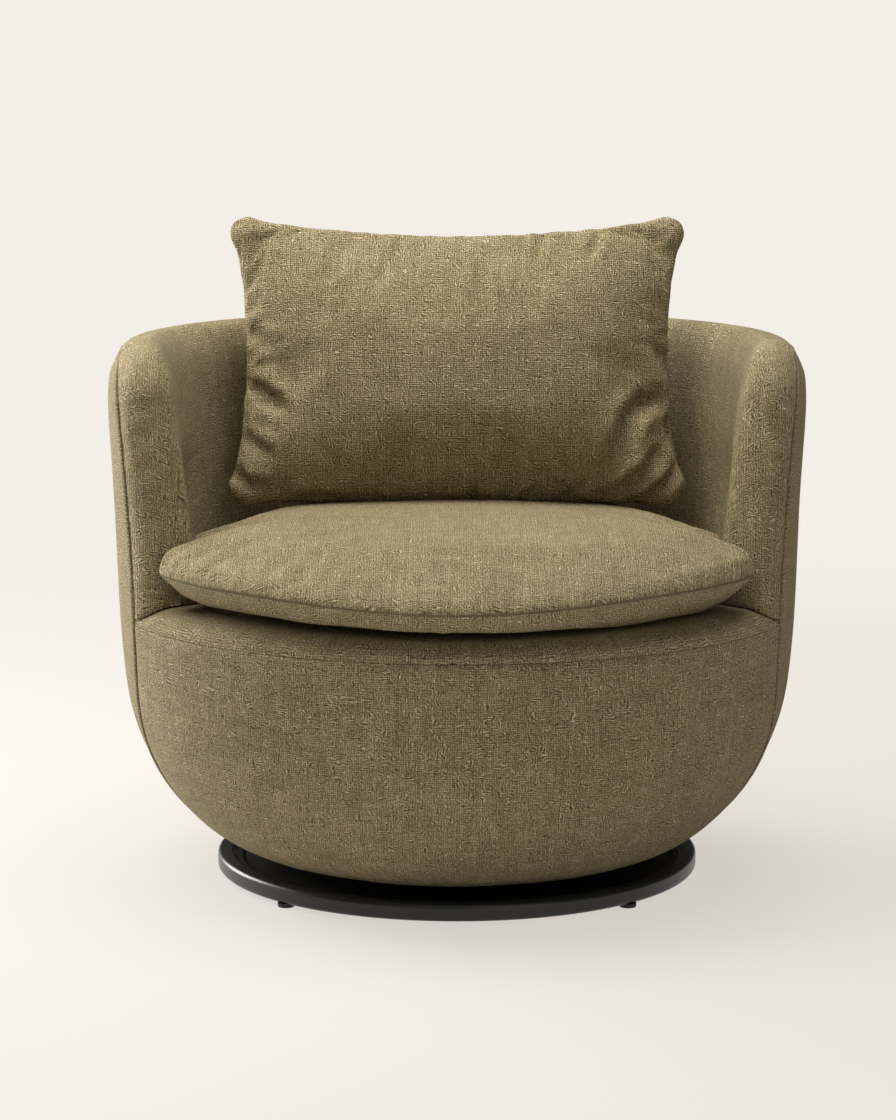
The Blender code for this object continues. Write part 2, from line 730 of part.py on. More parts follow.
def spring_line(side):
    """Points of one sinuous spring: a straight lead, square bends with rounded corners, a lead."""
    x = SPRING_PITCH * (side - (SPRING_COUNT - 1) / 2)
    end = math.sqrt(batten_radius**2 - x**2) + BATTEN_WIDTH / 2
    first = end - SPRING_LEAD
    pitch = 2 * first / SPRING_BENDS
    corner = pitch / 4
    flat = [(x, -end), (x, -first - corner)]
    for bend in range(SPRING_BENDS):
        way = 1 if bend % 2 == 0 else -1
        y = -first + pitch * bend
        for across, along in (
            (SPRING_HALF_WIDTH - corner, 0),
            (SPRING_HALF_WIDTH, corner),
            (SPRING_HALF_WIDTH, pitch - corner),
            (SPRING_HALF_WIDTH - corner, pitch),
        ):
            flat.append((x + way * across, y + along))
    flat += [(x, first + corner), (x, end)]
    low = spring_floor + SPRING_WIRE_RADIUS
    flat_end = first + corner
    return [
        (px, y, low + SPRING_CROWN * max(1 - (y / flat_end) ** 2, 0)) for px, y in flat
    ]


def make_springs(tub):
    """Sinuous wire springs from the front of the seat ring to its back."""
    for number in range(SPRING_COUNT):
        name = f"seat_spring_{number + 1}"
        points = spring_line(number)
        curve = bpy.data.curves.new(name, "CURVE")
        curve.dimensions = "3D"
        curve.bevel_depth = SPRING_WIRE_RADIUS
        curve.bevel_resolution = 1
        curve.use_fill_caps = True
        spline = curve.splines.new("POLY")
        spline.points.add(len(points) - 1)
        for knot, point in zip(spline.points, points):
            knot.co = (*point, 1)
        add_object(name, curve, "zinc_steel", tub)


def make_battens(tub):
    """Curved battens on the seat ring, notched over the ends of the springs."""
    height = spring_space
    notch = SPRING_WIRE_RADIUS + GAP
    columns = 8
    for name, middle in (("spring_batten_front", 0), ("spring_batten_back", 180)):
        bm = bmesh.new()
        rows = []
        outline = box_outline(
            batten_radius - BATTEN_WIDTH / 2,
            batten_radius + BATTEN_WIDTH / 2,
            spring_floor,
            spring_floor + height,
        )
        for column in range(columns + 1):
            angle = middle + BATTEN_ANGLE * (2 * column / columns - 1)
            rows.append([bm.verts.new(on_tub(r, angle, h)) for r, h in outline])
        for row, other in zip(rows, rows[1:]):
            bridge(bm, row, other)
        bm.faces.new(rows[0])
        bm.faces.new(rows[-1])
        batten = add_object(name, finish_mesh(bm, name), "plywood", tub)
        bm = bmesh.new()
        for number in range(SPRING_COUNT):
            x = SPRING_PITCH * (number - (SPRING_COUNT - 1) / 2)
            made = bmesh.ops.create_cube(bm, size=1)
            bmesh.ops.scale(
                bm, verts=made["verts"], vec=(2 * notch, 2 * batten_radius, 4 * notch)
            )
            y = math.copysign(batten_radius, middle - 90)
            bmesh.ops.translate(bm, verts=made["verts"], vec=(x, y, spring_floor))
        notches = cutter(name + "_notches", finish_mesh(bm, name + "_notches"), (0, 0, 0))
        cut = batten.modifiers.new("notches", "BOOLEAN")
        cut.operation = "DIFFERENCE"
        cut.solver = "EXACT"
        cut.object = notches


def make_dust_cover(tub):
    """Black cloth under the board, round the bearing."""
    inner = PLATE_RADIUS + DUST_COVER_MARGIN
    outer = outer_line[0][0] - DUST_COVER_MARGIN
    top = board_bottom - GAP
    outline = box_outline(inner, outer, top - DUST_COVER_THICKNESS, top)
    add_object("dust_cover", turned("dust_cover", outline, RING_FACETS), "black_cloth", tub)


def panel_section(first, last):
    """A padded panel's loop up its outside and down its hidden side, with each point's seam height."""
    loop = [(*outer_line[i], outer_line[i][1]) for i in range(first, last)]
    return loop + [(*hidden_line[i], outer_line[i][1]) for i in reversed(range(first, last))]


def make_outer_panel(tub):
    """The padded outer cover, from the seam at one arm round the back to the other."""
    bm = bmesh.new()
    rows = []
    for column in range(BACK_COLUMNS + 1):
        share = column / BACK_COLUMNS
        row = []
        for radius, height, level in panel_section(0, len(outer_line)):
            start = seam_angle(level) + gap_angle(radius)
            row.append(bm.verts.new(on_tub(radius, start + (180 - start) * share, height)))
        rows.append(row)
    for row, other in zip(rows, rows[1:]):
        bridge(bm, row, other)
    zip_row(bm, rows[0])
    add_object("outer_panel", mirrored(bm, "outer_panel"), "tweed", tub)


def make_front_panel(tub):
    """The padded cover of the bowl between the two seams, up to the deck's border."""
    bm = bmesh.new()
    rows = []
    for column in range(FRONT_COLUMNS + 1):
        row = []
        for radius, height, level in panel_section(0, BOWL_ROWS + 1):
            end = seam_angle(level) - gap_angle(radius)
            row.append(bm.verts.new(on_tub(radius, end * column / FRONT_COLUMNS, height)))
        rows.append(row)
    for row, other in zip(rows, rows[1:]):
        bridge(bm, row, other)
    zip_row(bm, rows[-1])
    add_object("front_panel", mirrored(bm, "front_panel"), "tweed", tub)


def make_deck(tub):
    """The sprung deck's pad, and the rounded border in front of it."""
    radius = border_inner_radius - GAP
    outline = [(0, deck_bottom), (radius, deck_bottom), (radius, deck_top), (0, deck_top)]
    mesh = turned("deck_pad", outline, RING_FACETS, closed=False)
    add_object("deck_pad", mesh, "foam", tub)
    under_front = hidden_radius(seat_ring_top) - GAP
    roll = arc(
        WAIST_RADIUS - BORDER_WIDTH, waist + GAP, BORDER_WIDTH, BORDER_RISE - GAP, 0, 90, 5
    )
    inner = border_inner_radius / facet_share
    outline = roll + [
        (inner, deck_top),
        (inner, seat_ring_top + GAP),
        (under_front, seat_ring_top + GAP),
        (under_front, waist + GAP),
    ]
    bm = bmesh.new()
    rows = []
    for column in range(FRONT_COLUMNS + 1):
        row = []
        for r, h in outline:
            end = seam_angle(waist) - gap_angle(r)
            row.append(bm.verts.new(on_tub(r, end * column / FRONT_COLUMNS, h)))
        rows.append(row)
    for row, other in zip(rows, rows[1:]):
        bridge(bm, row, other)
    bm.faces.new(rows[-1])
    add_object("deck_border", mirrored(bm, "deck_border"), "tweed", tub)


ROLL_ANGLES = (0, 27, 54, 72, 90)
UNDER_COUNT = 4  # points on the underside of an arm
ARM_ROUND_TURNS = (28, 52, 72, 85)
TOP_SEAM = WALL_ROWS + 2 * (len(ROLL_ANGLES) - 1) - 2  # arch point of the outer panel's top seam


def arch_line():
    """The wall's section over the rim, from the deck inside to the deck's height outside."""
    roll = ridge - RIM_ROLL_HEIGHT
    foot = deck_top + pad_gap
    points = []
    for row in range(WALL_ROWS):
        height = foot + (roll - foot) * row / WALL_ROWS
        points.append((inner_radius(height), height))
    for angle in ROLL_ANGLES:
        turn = math.radians(angle)
        inward = RIM_ROLL_WIDTH * math.cos(turn)
        points.append((ridge_radius - inward, roll + RIM_ROLL_HEIGHT * math.sin(turn)))
    for angle in ROLL_ANGLES[-2::-1]:
        turn = math.radians(angle)
        outward = RIDGE_INSET * math.cos(turn)
        points.append((ridge_radius + outward, shoulder + SHOULDER_HEIGHT * math.sin(turn)))
    for row in range(1, WALL_ROWS + 1):
        height = max(shoulder - WALL_HEIGHT * row / WALL_ROWS, foot)
        points.append((wall_radius(height), height))
    return points


arch = arch_line()
arch_inset = inset(arch, [-(OUTER_PAD + pad_gap)] * len(arch))
rail_seat_height = arch_inset[TOP_SEAM + 1][1]
rail_seat = inner_radius(rail_seat_height) + INNER_PAD
rail_top = rail_seat_height - pad_gap
rail_bottom = rail_top - RAIL_THICKNESS
seat_ring_outer = hidden_radius(seat_ring_bottom) - RIB_DEPTH - GAP
batten_radius = seat_ring_outer - BATTEN_INSET


def hook_line():
    """The hidden side of the padding round the back, hooked over the top rail."""
    line = [arch_inset[TOP_SEAM], arch_inset[TOP_SEAM + 1], (rail_seat, rail_seat_height)]
    rows = len(arch) - TOP_SEAM - 3
    for row in range(1, rows + 1):
        height = rail_seat_height + (arch[0][1] - rail_seat_height) * row / rows
        line.append((min(inner_radius(height) + INNER_PAD, rail_seat), height))
    return line


hook = hook_line()


def foot_floor(radius):
    """What the foot of an arm lies on: the deck and the rounded border in front of it."""
    out = (radius - WAIST_RADIUS + BORDER_WIDTH) / (BORDER_WIDTH + pad_gap)
    return waist + (BORDER_RISE + pad_gap) * math.sqrt(1 - min(max(out, 0), 1) ** 2)


def foot_height(radius, height):
    """Lets the foot of an arm follow the deck's rounded border."""
    blend = smooth_step((height - deck_top - pad_gap) / ARM_FOOT_BLEND)
    return height - (deck_top + pad_gap - foot_floor(radius)) * (1 - blend)


def under_points(outer, inner, count):
    """Points along the underside of an arm, from its outer corner to its inner one."""
    wide = BORDER_WIDTH + pad_gap
    start = WAIST_RADIUS - BORDER_WIDTH
    radii = [math.hypot(x, y) for x, y, _ in (outer, inner)]
    turns = [math.acos(min(max((radius - start) / wide, 0), 1)) for radius in radii]
    steps = count if radii[1] < start else count + 1
    points = []
    for step in range(1, count + 1):
        turn = turns[0] + (turns[1] - turns[0]) * step / steps
        share = (start + wide * math.cos(turn) - radii[1]) / (radii[0] - radii[1])
        x, y = (inner[k] + (outer[k] - inner[k]) * share for k in (0, 1))
        points.append((x, y, foot_floor(math.hypot(x, y))))
    return points


def arm_end_angle(index):
    """Where the arm's padding starts in front of the post, at a point of the arch."""
    height = max(arch[index][1], arch[-1 - index][1])
    angle = max(ARM_WALL_ANGLE, seam_angle(height) + 1)
    return angle if index >= TOP_SEAM else max(angle, arm_inner_angle(height) + 1)


def arm_base_angle(index):
    """Where the arm's front starts to round off, at a point of the arch."""
    radius, height = arch[index]
    if index >= TOP_SEAM:
        return seam_angle(foot_height(radius, height)) - gap_angle(radius)
    return arm_inner_angle(height)


def arm_section(share):
    """A loop round an arm between its post and the seam: the shown side of the arch, the side
    hidden by the outer panel, and the underside."""
    points = []
    for i, (radius, height) in [*enumerate(arch[: TOP_SEAM + 1])] + [
        (TOP_SEAM + j, point) for j, point in enumerate(arch_inset[TOP_SEAM:])
    ]:
        angle = arm_end_angle(i) + (arm_base_angle(i) - arm_end_angle(i)) * share
        points.append(on_tub(radius, angle, foot_height(radius, height)))
    return points + under_points(points[-1], points[0], UNDER_COUNT)


def arm_front_section(turn):
    """A loop round the rounded front of an arm: 0 at the seam, near 90 at its foremost line."""
    wide = math.cos(math.radians(turn)) ** ARM_ROUND_POWER
    ahead = math.sin(math.radians(turn)) ** ARM_ROUND_POWER
    points = []
    for i, ((radius, height), (other_radius, other_height)) in enumerate(zip(arch, arch[::-1])):
        inner, outer = min(radius, other_radius), max(radius, other_radius)
        nose_radius = inner + (outer - inner) * ARM_NOSE_SHARE
        middle = (height + other_height) / 2
        rolled = max((middle - ridge) / RIM_ROLL_HEIGHT + 1, 0)
        nose_height = middle - ARM_CROWN_DROP * rolled
        nose_angle = seam_angle(nose_height) - ARM_NOSE
        radius = nose_radius + (radius - nose_radius) * wide
        height = nose_height + (height - nose_height) * wide
        angle = arm_base_angle(i) + (nose_angle - arm_base_angle(i)) * ahead
        points.append(on_tub(radius, angle, foot_height(radius, height)))
    return points + under_points(points[-1], points[0], UNDER_COUNT + 2)


def make_inner_panel(tub):
    """The inner cover: the inner wall, the roll over the rim, and the arms' rounded fronts."""
    bm = bmesh.new()
    last = len(arch) - 1

    # Round the back
    section = [*enumerate(arch[: TOP_SEAM + 1])]
    section += [(TOP_SEAM + j, point) for j, point in enumerate(hook)]
    rows = []
    for column in range(BACK_COLUMNS + 1):
        share = column / BACK_COLUMNS
        row = []
        for i, (radius, height) in section:
            start = arm_end_angle(i)
            row.append(bm.verts.new(on_tub(radius, start + (180 - start) * share, height)))
        rows.append(row)
    for row, other in zip(rows, rows[1:]):
        bridge(bm, row, other)

    # The wall in front of the post, from the back's hidden side out to the outer panel's
    shown, behind = rows[0][: TOP_SEAM + 1], rows[0][TOP_SEAM + 1 :]
    points = arm_section(0)
    row = shown + behind[:2] + [bm.verts.new(point) for point in points[TOP_SEAM + 3 :]]
    side = row[TOP_SEAM + 1 : last + 2]
    bridge(bm, behind[1:-1], side[1:-1], closed=False)
    bm.faces.new([behind[-2], behind[-1], *row[: last + 1 : -1], side[-1], side[-2]])

    # The arm up to the seam
    for share in (0.5, 1):
        ahead = [bm.verts.new(point) for point in arm_section(share)]
        bridge(bm, row, ahead, closed=False)
        under = [row[-1], row[0], ahead[0], ahead[-1]]
        if share < 1:
            under.insert(1, behind[-1])
        bm.faces.new(under)
        row = ahead

    # The step out from under the outer panel, and the rounded front
    base = arm_front_section(0)
    step = [row[TOP_SEAM]] + [bm.verts.new(point) for point in base[TOP_SEAM + 1 : last + 2]]
    side = row[TOP_SEAM + 1 : last + 2]
    bridge(bm, side[:-1], step[:-2], closed=False)
    bm.faces.new([side[-2], side[-1], step[-1], step[-2], step[-3]])
    row = row[: TOP_SEAM + 1] + step[1:] + row[last + 1 :]
    for turn in ARM_ROUND_TURNS:
        ahead = [bm.verts.new(point) for point in arm_front_section(turn)]
        bridge(bm, row, ahead)
        row = ahead
    zip_row(bm, row[1:last])
    bm.faces.new(row[last - 1 :] + row[:2])
    add_object("inner_panel", mirrored(bm, "inner_panel"), "tweed", tub)


def cushion_radius(angle):
    """Plan radius of the cushion's seam: the front arc, an ear, then the part between the arms."""
    known = len(CUSHION_RADIUS_SHARES)
    at = CUSHION_ANGLES.index(angle)
    return cushion_front * CUSHION_RADIUS_SHARES[at] if at < known else cushion_back


def make_cushion(lift):
    """The loose seat cushion: a crowned top, a seam all round, and an undercut below it."""
    bottom = deck_top + GAP
    bm = bmesh.new()
    rows = []
    for angle in CUSHION_ANGLES:
        radius = cushion_radius(angle)
        seam = bottom + CUSHION_SEAM_HEIGHT + CUSHION_SEAM_RISE * smooth_step(angle / CUSHION_RISE_ANGLE)
        back = (1 - math.cos(math.radians(angle))) / 2
        row = []
        for share in CUSHION_TOP_SHARES:
            crown = bottom + CUSHION_HEIGHT - CUSHION_BACK_DROP * back * share
            full = math.sqrt(1 - share**CUSHION_TOP_POWER)
            row.append((radius * share, seam + (crown - seam) * full))
        row.append((radius, seam))
        tuck = CUSHION_TUCK_FRONT + (CUSHION_TUCK_SIDE - CUSHION_TUCK_FRONT) * smooth_step(
            angle / CUSHION_RISE_ANGLE
        )
        tucked, dropped = CUSHION_TUCK_SHARES
        row.append((radius - tuck * tucked, seam - (seam - bottom) * dropped))
        row.append((radius - tuck, bottom))
        row += [((radius - tuck) * share, bottom) for share in CUSHION_UNDER_SHARES[::-1]]
        rows.append([bm.verts.new(on_tub(r, angle, h)) for r, h in row])
    top = bm.verts.new((0, 0, bottom + CUSHION_HEIGHT))
    under = bm.verts.new((0, 0, bottom))
    for row, other in zip(rows, rows[1:]):
        bridge(bm, row, other, closed=False)
        bm.faces.new((top, row[0], other[0]))
        bm.faces.new((under, row[-1], other[-1]))
    return add_object("seat_cushion", mirrored(bm, "seat_cushion"), "tweed", lift)


def pillow_point(u, v, swell):
    """A point of the pillow: u across, v up, both from -1 to 1, swollen back or forward."""
    x = u * PILLOW_WIDTH / 2 * (1 - PILLOW_SIDE_DRAW * (1 - v * v))
    along = PILLOW_HEIGHT * (v / 2 - PILLOW_TOP_DRAW * (1 - u * u) * (1 + v) / 2)
    power = PILLOW_TOP_POWER if v > 0 else PILLOW_FOOT_POWER
    fill = max((1 - u * u) * (1 - abs(v) ** power), 0) ** PILLOW_SWELL_POWER
    lean = math.radians(PILLOW_LEAN)
    y = pillow_middle + swell * fill * math.cos(lean) + along * math.sin(lean)
    z = along * math.cos(lean) - swell * fill * math.sin(lean)
    return (x, y, z)


def drop_onto(bm, lower):
    """Lowers a soft piece until it nearly touches the piece below."""
    under = bmesh.new()
    under.from_mesh(lower.data)
    tree, lower_tree = BVHTree.FromBMesh(bm), BVHTree.FromBMesh(under)
    heights = [lower_tree.ray_cast(vert.co, (0, 0, -1))[3] for vert in bm.verts]
    heights += [tree.ray_cast(vert.co, (0, 0, 1))[3] for vert in under.verts]
    under.free()
    drop = min(height for height in heights if height is not None) - GAP
    bmesh.ops.translate(bm, verts=bm.verts, vec=(0, 0, -drop))


def make_pillow(lift, cushion):
    """The loose back pillow: two crowned faces that meet in a seam, with drawn-in sides."""
    bm = bmesh.new()
    for swell in (-PILLOW_FRONT_SWELL, PILLOW_BACK_SWELL):
        columns = []
        for i in range(PILLOW_COLUMNS + 1):
            u = math.sin(math.pi / 2 * (2 * i / PILLOW_COLUMNS - 1))
            column = []
            for j in range(PILLOW_ROWS + 1):
                v = math.sin(math.pi / 2 * (2 * j / PILLOW_ROWS - 1))
                column.append(bm.verts.new(pillow_point(u, v, swell)))
            columns.append(column)
        for row, other in zip(columns, columns[1:]):
            bridge(bm, row, other, closed=False)
        # each corner face is cut from its corner inwards, so that the two sides stay apart
        for outer, inner in ((columns[0], columns[1]), (columns[-1], columns[-2])):
            bmesh.ops.connect_verts(bm, verts=(outer[0], inner[1]))
            bmesh.ops.connect_verts(bm, verts=(outer[-1], inner[-2]))
    bmesh.ops.translate(bm, verts=bm.verts, vec=(0, 0, deck_top + CUSHION_HEIGHT + PILLOW_HEIGHT))
    drop_onto(bm, cushion)
    add_object("back_pillow", finish_mesh(bm, "back_pillow"), "tweed", lift)


def add_axis(name, parent=None):
    """An empty on the swivel axis that carries one moving body."""
    empty = bpy.data.objects.new(name, None)
    empty.parent = parent
    bpy.context.collection.objects.link(empty)
    return empty


def build():
    for old in list(bpy.data.objects):
        bpy.data.objects.remove(old)
    base = add_axis("base")
    cage = add_axis("cage_axis", base)
    tub = add_axis("swivel_axis", base)
    cushion = add_axis("cushion_lift", tub)
    pillow = add_axis("pillow_lift", cushion)
    make_ring(base)
    make_glides(base)
    make_pan(base)
    make_plates(base, tub)
    make_pivot(base)
    make_base_bolts(base)
    make_balls(cage)
    make_plate_screws(tub)
    make_board(tub)
    make_ribs(tub)
    make_rails(tub)
    make_springs(tub)
    make_battens(tub)
    make_dust_cover(tub)
    make_outer_panel(tub)
    make_front_panel(tub)
    make_deck(tub)
    make_inner_panel(tub)
    seat_cushion = make_cushion(cushion)
    make_pillow(pillow, seat_cushion)


build()
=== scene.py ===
import math

import bpy
import numpy as np
from mathutils import Matrix, Vector, noise
from mathutils.bvhtree import BVHTree


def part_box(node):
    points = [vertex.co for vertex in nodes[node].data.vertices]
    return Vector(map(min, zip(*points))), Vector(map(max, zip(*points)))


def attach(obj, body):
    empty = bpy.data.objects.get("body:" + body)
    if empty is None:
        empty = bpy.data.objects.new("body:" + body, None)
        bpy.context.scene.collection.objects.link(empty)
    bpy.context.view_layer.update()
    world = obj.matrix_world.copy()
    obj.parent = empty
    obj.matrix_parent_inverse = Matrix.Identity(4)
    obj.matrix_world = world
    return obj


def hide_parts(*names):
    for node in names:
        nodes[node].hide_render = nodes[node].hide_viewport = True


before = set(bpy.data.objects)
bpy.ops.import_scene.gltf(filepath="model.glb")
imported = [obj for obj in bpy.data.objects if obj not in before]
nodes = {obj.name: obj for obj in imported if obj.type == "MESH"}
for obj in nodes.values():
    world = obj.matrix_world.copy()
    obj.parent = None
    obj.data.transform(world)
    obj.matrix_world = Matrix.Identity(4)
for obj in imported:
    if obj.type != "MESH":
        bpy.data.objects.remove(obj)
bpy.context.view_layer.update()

scene = bpy.context.scene


# the swivel lounge chair: shader helpers and finishes first, then one block for each piece

class Wire:
    # a value in the node tree; sums written with it become Math nodes
    def __init__(self, bench, socket):
        self.bench = bench
        self.socket = socket

    def maths(self, operation, *values):
        return self.bench.node("ShaderNodeMath", {"operation": operation}, dict(enumerate(values)))[0]

    def __add__(self, other): return self.maths("ADD", self, other)
    def __radd__(self, other): return self.maths("ADD", other, self)
    def __sub__(self, other): return self.maths("SUBTRACT", self, other)
    def __rsub__(self, other): return self.maths("SUBTRACT", other, self)
    def __mul__(self, other): return self.maths("MULTIPLY", self, other)
    def __rmul__(self, other): return self.maths("MULTIPLY", other, self)
    def __truediv__(self, other): return self.maths("DIVIDE", self, other)
    def __rtruediv__(self, other): return self.maths("DIVIDE", other, self)
    def __pow__(self, other): return self.maths("POWER", self, other)
    def size(self): return self.maths("ABSOLUTE", self)
    def floor(self): return self.maths("FLOOR", self)
    def part(self): return self.maths("FRACT", self)
    def most(self, other): return self.maths("MAXIMUM", self, other)
    def pair(self): return self.maths("MODULO", self, 2.0)

    def ramp(self, low, high):
        # 0 below low, 1 above high, smooth between
        return self.bench.node("ShaderNodeMapRange", {"interpolation_type": "SMOOTHSTEP"},
                               {"Value": self, "From Min": low, "From Max": high})["Result"]


class Outs:
    # the outputs of a node, by name or number, each as a Wire
    def __init__(self, bench, node):
        self.bench = bench
        self.node = node

    def __getitem__(self, name):
        return Wire(self.bench, self.node.outputs[name])


class Bench:
    # the node tree of a new material, or of the world
    def __init__(self, name, owner=None, shader="Principled BSDF"):
        self.owner = owner or bpy.data.materials.new(name)
        self.owner.use_nodes = True
        self.tree = self.owner.node_tree
        self.shader = self.tree.nodes[shader]

    def feed(self, socket, value):
        if isinstance(value, Wire):
            self.tree.links.new(value.socket, socket)
        else:
            socket.default_value = value

    def node(self, kind, settings=None, sockets=None):
        made = self.tree.nodes.new(kind)
        for name, value in (settings or {}).items():
            if name == "stops":
                ramp = made.color_ramp
                while len(ramp.elements) < len(value):
                    ramp.elements.new(0.5)
                for element, (place, colour) in zip(ramp.elements, value):
                    element.position = place
                    element.color = colour
            else:
                setattr(made, name, value)
        for name, value in (sockets or {}).items():
            self.feed(made.inputs[name], value)
        return Outs(self, made)

    def place(self):
        return self.node("ShaderNodeTexCoord")["Object"]

    def parts(self, vector):
        flat = self.node("ShaderNodeSeparateXYZ", None, {"Vector": vector})
        return flat["X"], flat["Y"], flat["Z"]

    def noise(self, vector, scale, detail=2.0, roughness=0.5):
        return self.node("ShaderNodeTexNoise", None, {"Vector": vector, "Scale": scale, "Detail": detail,
                                                      "Roughness": roughness})["Fac"]

    def vector(self, x=0.0, y=0.0, z=0.0):
        return self.node("ShaderNodeCombineXYZ", None, {"X": x, "Y": y, "Z": z})["Vector"]

    def colours(self, value, *stops):
        return self.node("ShaderNodeValToRGB", {"stops": stops}, {"Fac": value})["Color"]

    def mix(self, share, first, second):
        # Mix has its colours at sockets 6 and 7, and the mixed one at output 2
        return self.node("ShaderNodeMix", {"data_type": "RGBA"}, {0: share, 6: first, 7: second})[2]

    def bump(self, height, distance, strength):
        return self.node("ShaderNodeBump", None, {"Height": height, "Distance": distance,
                                                  "Strength": strength})["Normal"]

    def finish(self, sockets):
        for name, value in sockets.items():
            self.feed(self.shader.inputs[name], value)
        return self.owner

    def show(self, share, other, output):
        # lets as much of another shader through to the output as share says
        own = Wire(self, self.shader.outputs[0])
        mixed = self.node("ShaderNodeMixShader", None, {0: share, 1: own, 2: other[0]})
        self.feed(self.tree.nodes[output].inputs["Surface"], mixed[0])


def tone(red, green, blue):
    # a screen colour, 0 to 255, as Blender's linear colour
    linear = []
    for value in (red, green, blue):
        value /= 255
        linear.append(value / 12.92 if value <= 0.04045 else ((value + 0.055) / 1.055) ** 2.4)
    return (*linear, 1.0)


tweed = {
    "pitch": 0.0025,  # from thread to thread
    "wander": 0.0048,  # how far a thread strays
    "wanderScale": 70.0,
    "dips": 0.45,  # how far a thread sinks where it goes under
    "slub": (330, 16),  # thick and thin yarns run for a few centimetres: scale across and along them
    "strokePitch": 0.0035,  # the raised yarns lie in short bundles, across, along or aslant
    "strokeWander": 0.0084,
    "strokeEdge": (0.15, 0.95),
    "strokeMiddle": 0.42,
    "strokeLeast": 0.16,
    "noises": {  # scale, place in the noise, detail, roughness
        "swayU": (130.0, 11.0, 1.0, 0.5),
        "swayV": (130.0, 17.0, 1.0, 0.5),
        "turned": (95.0, 23.0, 0.0, 0.5),
        "aslant": (90.0, 29.0, 0.0, 0.5),
        "shown": (150.0, 31.0, 1.0, 0.5),
        "speckle": (430.0, 33.0, 1.0, 0.6),
        "pits": (330.0, 35.0, 2.0, 0.6),
        "mottle": (16.0, 37.0, 3.0, 0.55),
        "cloud": (60.0, 41.0, 2.0, 0.5),
    },
    "middle": 0.42,  # of the colour stops
    "shares": {"threads": 0.34, "stroke": 0.50, "speckle": 0.60, "pits": 0.08, "warpSlub": 0.22,
               "weftSlub": 0.14, "mottle": 0.10, "cloud": 0.16},
    "stops": ((0.0, tone(48, 40, 22)), (0.3, tone(106, 93, 62)), (0.5, tone(151, 137, 101)),
              (0.7, tone(190, 177, 142)), (1.0, tone(234, 225, 196))),
    # a dark line along each seam: partly the seam itself, partly painted shade of the seam's hollow
    "seamEdge": (0.0003, 0.0014),
    "seamShare": 0.28,
    "seamTone": tone(52, 44, 28),
    "heights": {"threads": 0.5, "stroke": 0.8, "speckle": 0.5, "pits": 0.2, "slubs": 0.25},
    "bumpDistance": 0.0012,
    "bumpStrength": 0.9,
    "roughness": 0.9,
    "strokeGloss": 0.08,
    "sheen": 0.10,
    "sheenRoughness": 0.45,
    "sheenTone": tone(205, 196, 165),
}


def makeTweed(name):
    bench = Bench(name)
    cloth = bench.node("ShaderNodeAttribute", {"attribute_name": "cloth"})["Vector"]
    seam = bench.node("ShaderNodeAttribute", {"attribute_name": "seam"})["Fac"]
    u, v, sheet = bench.parts(cloth)

    def layer(name):
        scale, shift, detail, roughness = tweed["noises"][name]
        return bench.noise(bench.vector(u, v, sheet + shift), scale, detail, roughness)

    swapped = bench.vector(v, u, sheet + 3.0)
    across, along = [(way + (bench.noise(vector, tweed["wanderScale"]) - 0.5) * tweed["wander"])
                     / tweed["pitch"] for way, vector in ((u, cloth), (v, swapped))]
    # plain weave: every other crossing shows the other thread
    turn = (across.floor() + along.floor()).pair().size()
    warp, weft = [1 - ((way.part() - 0.5) * 2) ** 2 for way in (across, along)]
    over, under = [1 - tweed["dips"] + tweed["dips"] * other for other in (weft, warp)]
    threads = turn * warp * over + (1 - turn) * weft * under
    narrow, long = tweed["slub"]
    warpSlub = bench.noise(bench.vector(u * narrow, v * long, sheet), 1.0)
    weftSlub = bench.noise(bench.vector(u * long, v * narrow, sheet + 7.0), 1.0)
    # each bundle of raised yarn lies one of three ways
    swayU, swayV = [(layer(name) - 0.5) * tweed["strokeWander"] for name in ("swayU", "swayV")]
    slant = ((u + swayU) + (v + swayV)) * 0.707
    flat, upright, aslant = [
        (1 - ((way / tweed["strokePitch"]).part() - 0.5).size() * 2).ramp(*tweed["strokeEdge"])
        for way in (v + swayV, u + swayU, slant)]
    isFlat = layer("turned").ramp(0.47, 0.53)
    isAslant = layer("aslant").ramp(0.60, 0.64)
    stroke = (flat * isFlat + upright * (1 - isFlat)) * (1 - isAslant) + aslant * isAslant
    least = tweed["strokeLeast"]
    stroke = (stroke - tweed["strokeMiddle"]) * (least + (1 - least) * layer("shown").ramp(0.44, 0.68))
    speckle = layer("speckle")
    pits = 1 - layer("pits").ramp(0.3, 0.46)
    share = tweed["shares"]
    level = (tweed["middle"] + (threads - 0.5) * share["threads"] + stroke * share["stroke"]
             + (speckle - 0.5) * share["speckle"] - pits * share["pits"]
             + (warpSlub - 0.5) * share["warpSlub"] + (weftSlub - 0.5) * share["weftSlub"]
             + (layer("mottle") - 0.5) * share["mottle"] + (layer("cloud") - 0.5) * share["cloud"])
    # darker near each seam: the seam's own line, and painted shade where the seam's hollow lies in shadow
    line = (1 - seam.ramp(*tweed["seamEdge"])) * tweed["seamShare"]
    colour = bench.mix(line, bench.colours(level, *tweed["stops"]), tweed["seamTone"])
    high = tweed["heights"]
    height = (threads * high["threads"] + speckle * high["speckle"] + stroke * high["stroke"]
              - pits * high["pits"] + (warpSlub + weftSlub) * high["slubs"])
    return bench.finish({
        "Base Color": colour,
        "Roughness": tweed["roughness"] - stroke * tweed["strokeGloss"],
        "Sheen Weight": tweed["sheen"],
        "Sheen Roughness": tweed["sheenRoughness"],
        "Sheen Tint": tweed["sheenTone"],
        "Normal": bench.bump(height, tweed["bumpDistance"], tweed["bumpStrength"]),
    })


